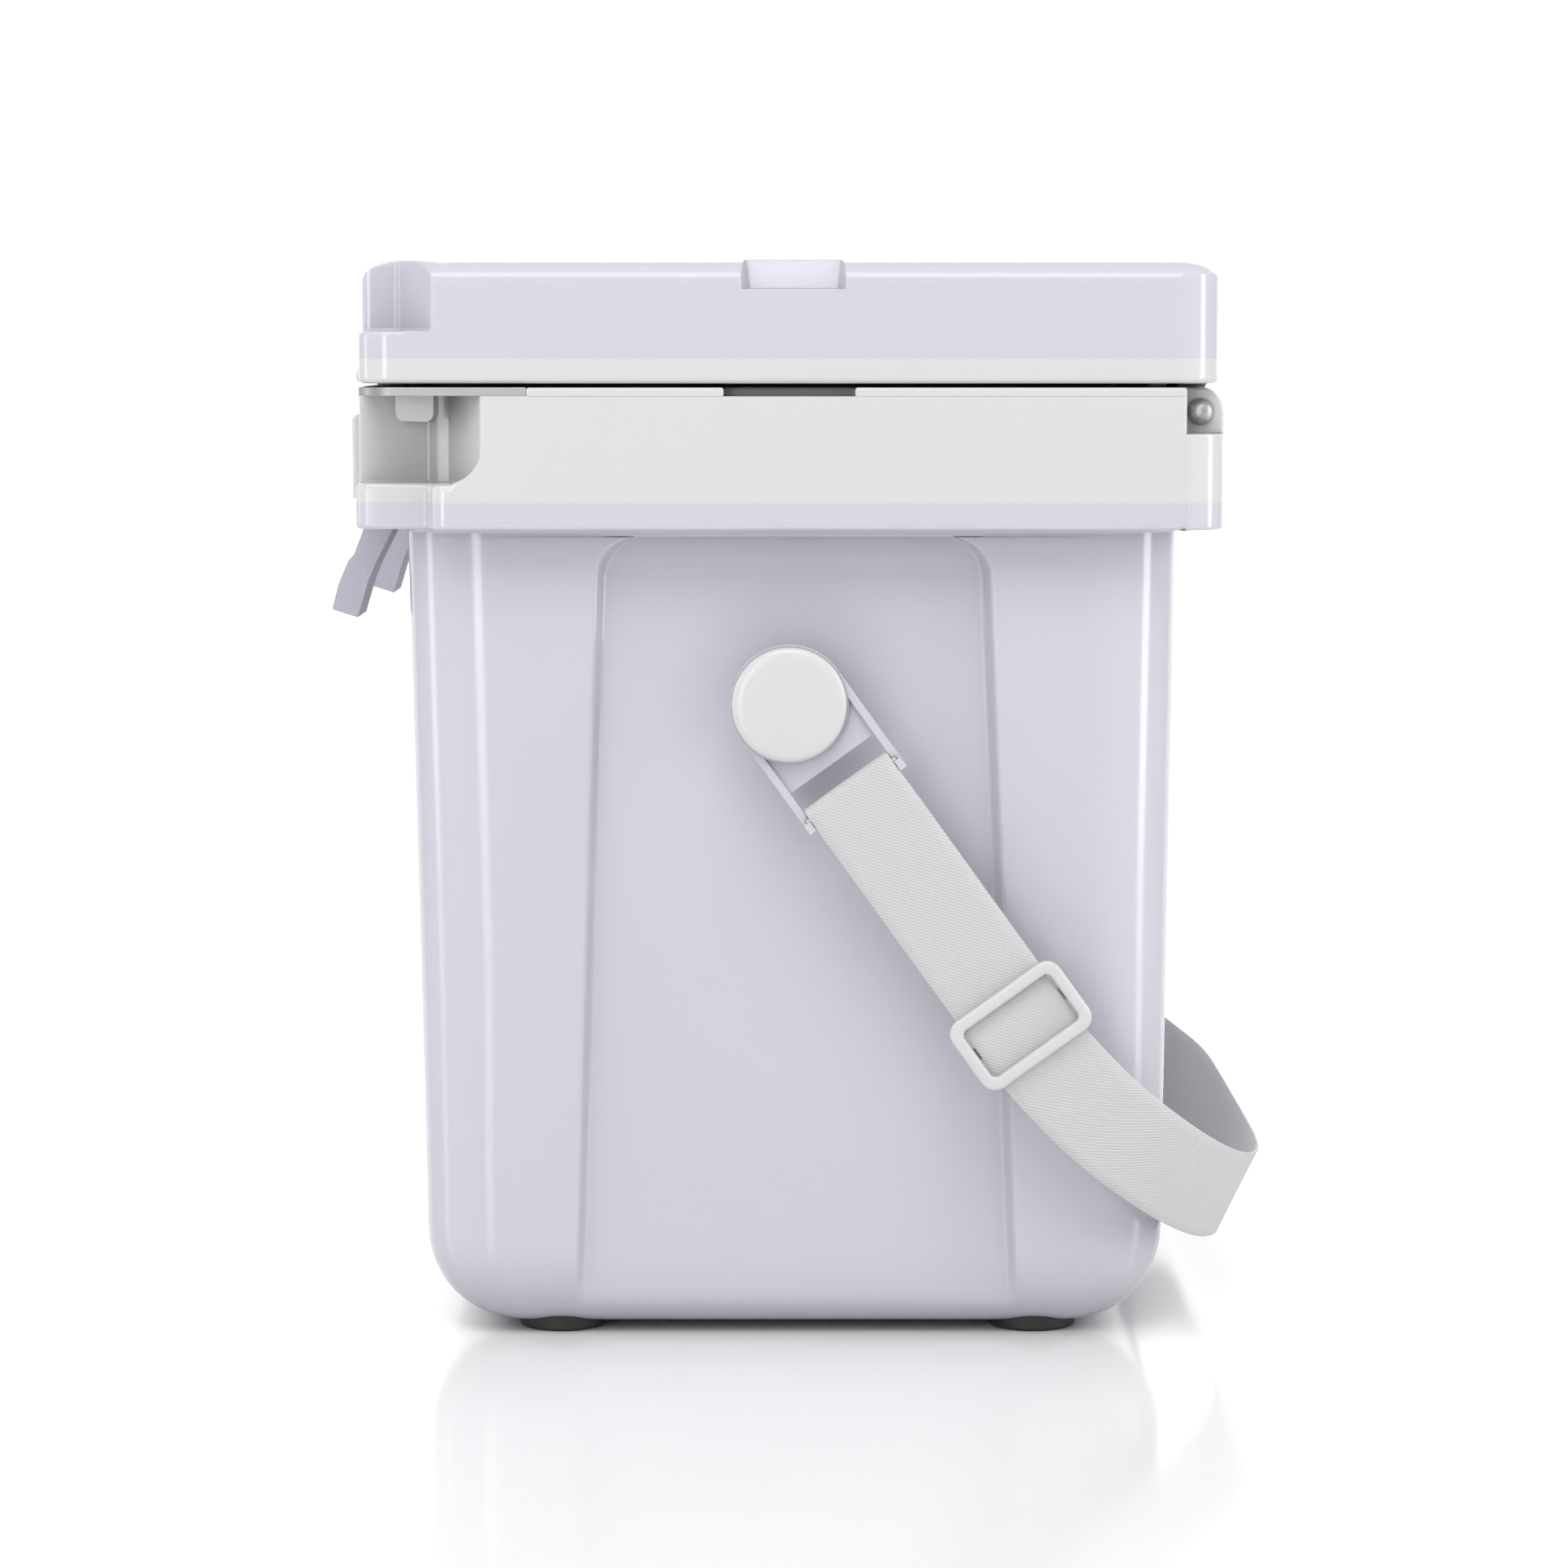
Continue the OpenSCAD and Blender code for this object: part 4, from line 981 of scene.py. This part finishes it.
for side in ("left", "right"):
    softened("lock_plate_" + side, PLATE, 0.5)
    softened("strap_bracket_" + side, LAVENDER, 0.8)
    softened("latch_" + side, LATCH, 2.4, 4, 14)
    softened("pivot_boss_" + side, LAVENDER, 0.8)
    for end in ("front", "rear"):
        softened("foot_" + end + "_" + side, BLACK, 1.2, 3, 40)


def make_cap(side):
    """Domed cap turned about the pivot, with a broad rounded edge and a faint ring."""
    profile = [(21.5, 0.0), (21.5, 1.2)]
    for t in np.linspace(0.15, 1.0, 8):
        a = t * math.radians(78)
        profile.append((21.5 - 3.0 * (1 - math.cos(a)), 1.2 + 2.45 * math.sin(a)))
    profile += [(17.6, 3.85), (17.0, 3.8), (16.4, 3.88), (12.0, 4.1), (7.0, 4.22), (2.0, 4.3)]
    seat = mm_box("pivot_cap_" + side)[0 if side == "right" else 1][0]
    way = 1 if side == "right" else -1
    skin = Skin()
    rows = [[(seat + way * h, r * math.cos(a), pivot_z + r * math.sin(a))
             for a in np.linspace(0, 2 * math.pi, 72, endpoint=False)] for r, h in profile]
    add_solid(skin, rows)
    cap = skin.make("pivot_cap_turned_" + side, "chest", CAP_WHITE, 40)
    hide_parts("pivot_cap_" + side)


def make_slider():
    """Moulded slider: a rounded window frame over the webbing and a bar between its plies."""
    def place(u, v, x):
        base = strap_point(SLIDER_REACH + v, x)
        return base + u * np.array((0, math.sin(STRAP_DOWN), math.cos(STRAP_DOWN)))

    def frame_loop(half_w, half_l, r, x):
        plan = outline([(-half_w, -half_l, x, r), (half_w, -half_l, x, r),
                        (half_w, half_l, x, r), (-half_w, half_l, x, r)], [(8, 4)] * 4)
        return [place(u, v, x) for u, v, _ in plan]

    w, l, wall_w, wall_l = 24.6, 15.4, 4.7, 4.9
    bottom, top = 208.85, 212.6
    rows = []
    for t in np.linspace(0, 2 * math.pi, 21):
        a, b = math.cos(t), math.sin(t)
        a = math.copysign(abs(a) ** 0.7, a)
        b = math.copysign(abs(b) ** 0.7, b)
        x = (bottom + top) / 2 + b * (top - bottom) / 2
        out_w = w - wall_w / 2 + a * wall_w / 2
        out_l = l - wall_l / 2 + a * wall_l / 2
        rows.append(frame_loop(out_w, out_l, 4.2 + a * 1.8, x))
    skin = Skin()
    skin.rows(rows)
    for side in (-1, 1):
        post = [[place(side * 21.6 + du, dv, x)
                 for du, dv in ((-1.8, -2.6), (1.8, -2.6), (1.8, 2.6), (-1.8, 2.6))]
                for x in (203.6, 206, 209.4)]
        add_solid(skin, post)
    bar = [[place(u, dv, x) for dv, x in ((-2.6, 204), (-2, 203.6), (2, 203.6), (2.6, 204),
                                          (2.6, 206), (2, 206.4), (-2, 206.4), (-2.6, 206))]
           for u in (-22.5, 0, 22.5)]
    add_solid(skin, bar)
    slider = skin.make("strap_slider_moulded", "slider", CAP_WHITE, 40)
    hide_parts("strap_slider")


make_cap("left")
make_cap("right")
make_slider()


# ------------------------------------------------------------------ finishes of CAD nodes

def paint(node, material):
    obj = frame["nodes"][node]
    obj.data.materials.clear()
    obj.data.materials.append(material)


FINISH = {
    "lock_plate_screws": STEEL, "hinge_pin": STEEL, "latch_pin": STEEL, "pivot_bolts": STEEL,
    "foot_screws": STEEL, "strap_bar": STEEL, "pivot_inserts": BRASS, "pivot_washers": WHITE,
    "lid_gasket": BLACK, "body_foam": FOAM, "lid_foam": FOAM,
}
for name in frame["nodes"]:
    for key, material in FINISH.items():
        if name.startswith(key):
            paint(name, material)


# ------------------------------------------------------------------ stage

def area_light(name, place, target, size, power):
    light = bpy.data.lights.new(name, "AREA")
    light.shape = "RECTANGLE"
    light.size, light.size_y = size
    light.energy = power
    obj = bpy.data.objects.new(name, light)
    bpy.context.scene.collection.objects.link(obj)
    obj.location = place
    obj.rotation_euler = (Vector(target) - Vector(place)).to_track_quat("-Z", "Y").to_euler()
    return obj


def make_backdrop():
    """White card far behind the chest, lit from within so that it fills the frame evenly."""
    mesh = bpy.data.meshes.new("backdrop")
    mesh.from_pydata([(-5, -5, -0.2), (-5, 5, -0.2), (-5, 5, 4), (-5, -5, 4)], [], [(0, 1, 2, 3)])
    card = bpy.data.objects.new("backdrop", mesh)
    bpy.context.scene.collection.objects.link(card)
    mat, tree, shader, coords = node_material("backdrop_white")
    cloud = tint(tree, noise(tree, coords, 0.5), (0.99, 0.99, 0.99), (1, 1, 1))
    tree.links.new(cloud, shader.inputs["Emission Color"])
    shader.inputs["Emission Strength"].default_value = 1.0
    mesh.materials.append(mat)


def make_stage():
    mesh = bpy.data.meshes.new("floor")
    mesh.from_pydata([(-6, -6, 0), (6, -6, 0), (6, 6, 0), (-6, 6, 0)], [], [(0, 1, 2, 3)])
    floor = bpy.data.objects.new("floor", mesh)
    bpy.context.scene.collection.objects.link(floor)
    mat, tree, shader, coords = node_material("floor_white")
    speck = noise(tree, coords, 30.0, 2.0)
    tree.links.new(tint(tree, speck, (0.89, 0.89, 0.89), (0.91, 0.91, 0.91)),
                   shader.inputs["Base Color"])
    shader.inputs["Roughness"].default_value = 0.13
    shader.inputs["Specular IOR Level"].default_value = 0.8
    mesh.materials.append(mat)
    world = bpy.data.worlds.new("world")
    bpy.context.scene.world = world
    world.use_nodes = True
    world.node_tree.nodes["Background"].inputs["Color"].default_value = (1, 1, 1, 1)
    world.node_tree.nodes["Background"].inputs["Strength"].default_value = 0.58
    area_light("key_left", (2.5, -0.78, 0.5), (0.1, 0, 0.22), (0.4, 1.7), 14.5)
    area_light("side_left", (0.15, -1.6, 0.4), (0, 0, 0.22), (0.28, 1.6), 5.5)
    area_light("side_right", (0.45, 1.5, 0.4), (0, 0, 0.22), (0.3, 1.6), 11)
    area_light("top_front", (1.3, -0.2, 2.0), (0, 0, 0.2), (1.6, 1.2), 22)
    area_light("top", (-0.5, 0, 2.0), (-0.2, 0, 0.2), (1.6, 1.6), 2)
    make_backdrop()


CAMERA_PITCH = math.radians(5.443)
CAMERA_AT = (2.000, -0.002, 0.3872)
CAMERA_LENS = 110.7


def make_camera():
    cam = bpy.data.objects.new("camera", bpy.data.cameras.new("camera"))
    bpy.context.scene.collection.objects.link(cam)
    cam.location = CAMERA_AT
    look = Vector((-math.cos(CAMERA_PITCH), 0, -math.sin(CAMERA_PITCH)))
    cam.rotation_euler = look.to_track_quat("-Z", "Y").to_euler()
    cam.data.lens = CAMERA_LENS
    cam.data.sensor_width = 36
    cam.data.clip_end = 50
    bpy.context.scene.camera = cam


make_stage()
make_camera()
bpy.context.scene.view_settings.view_transform = "Standard"
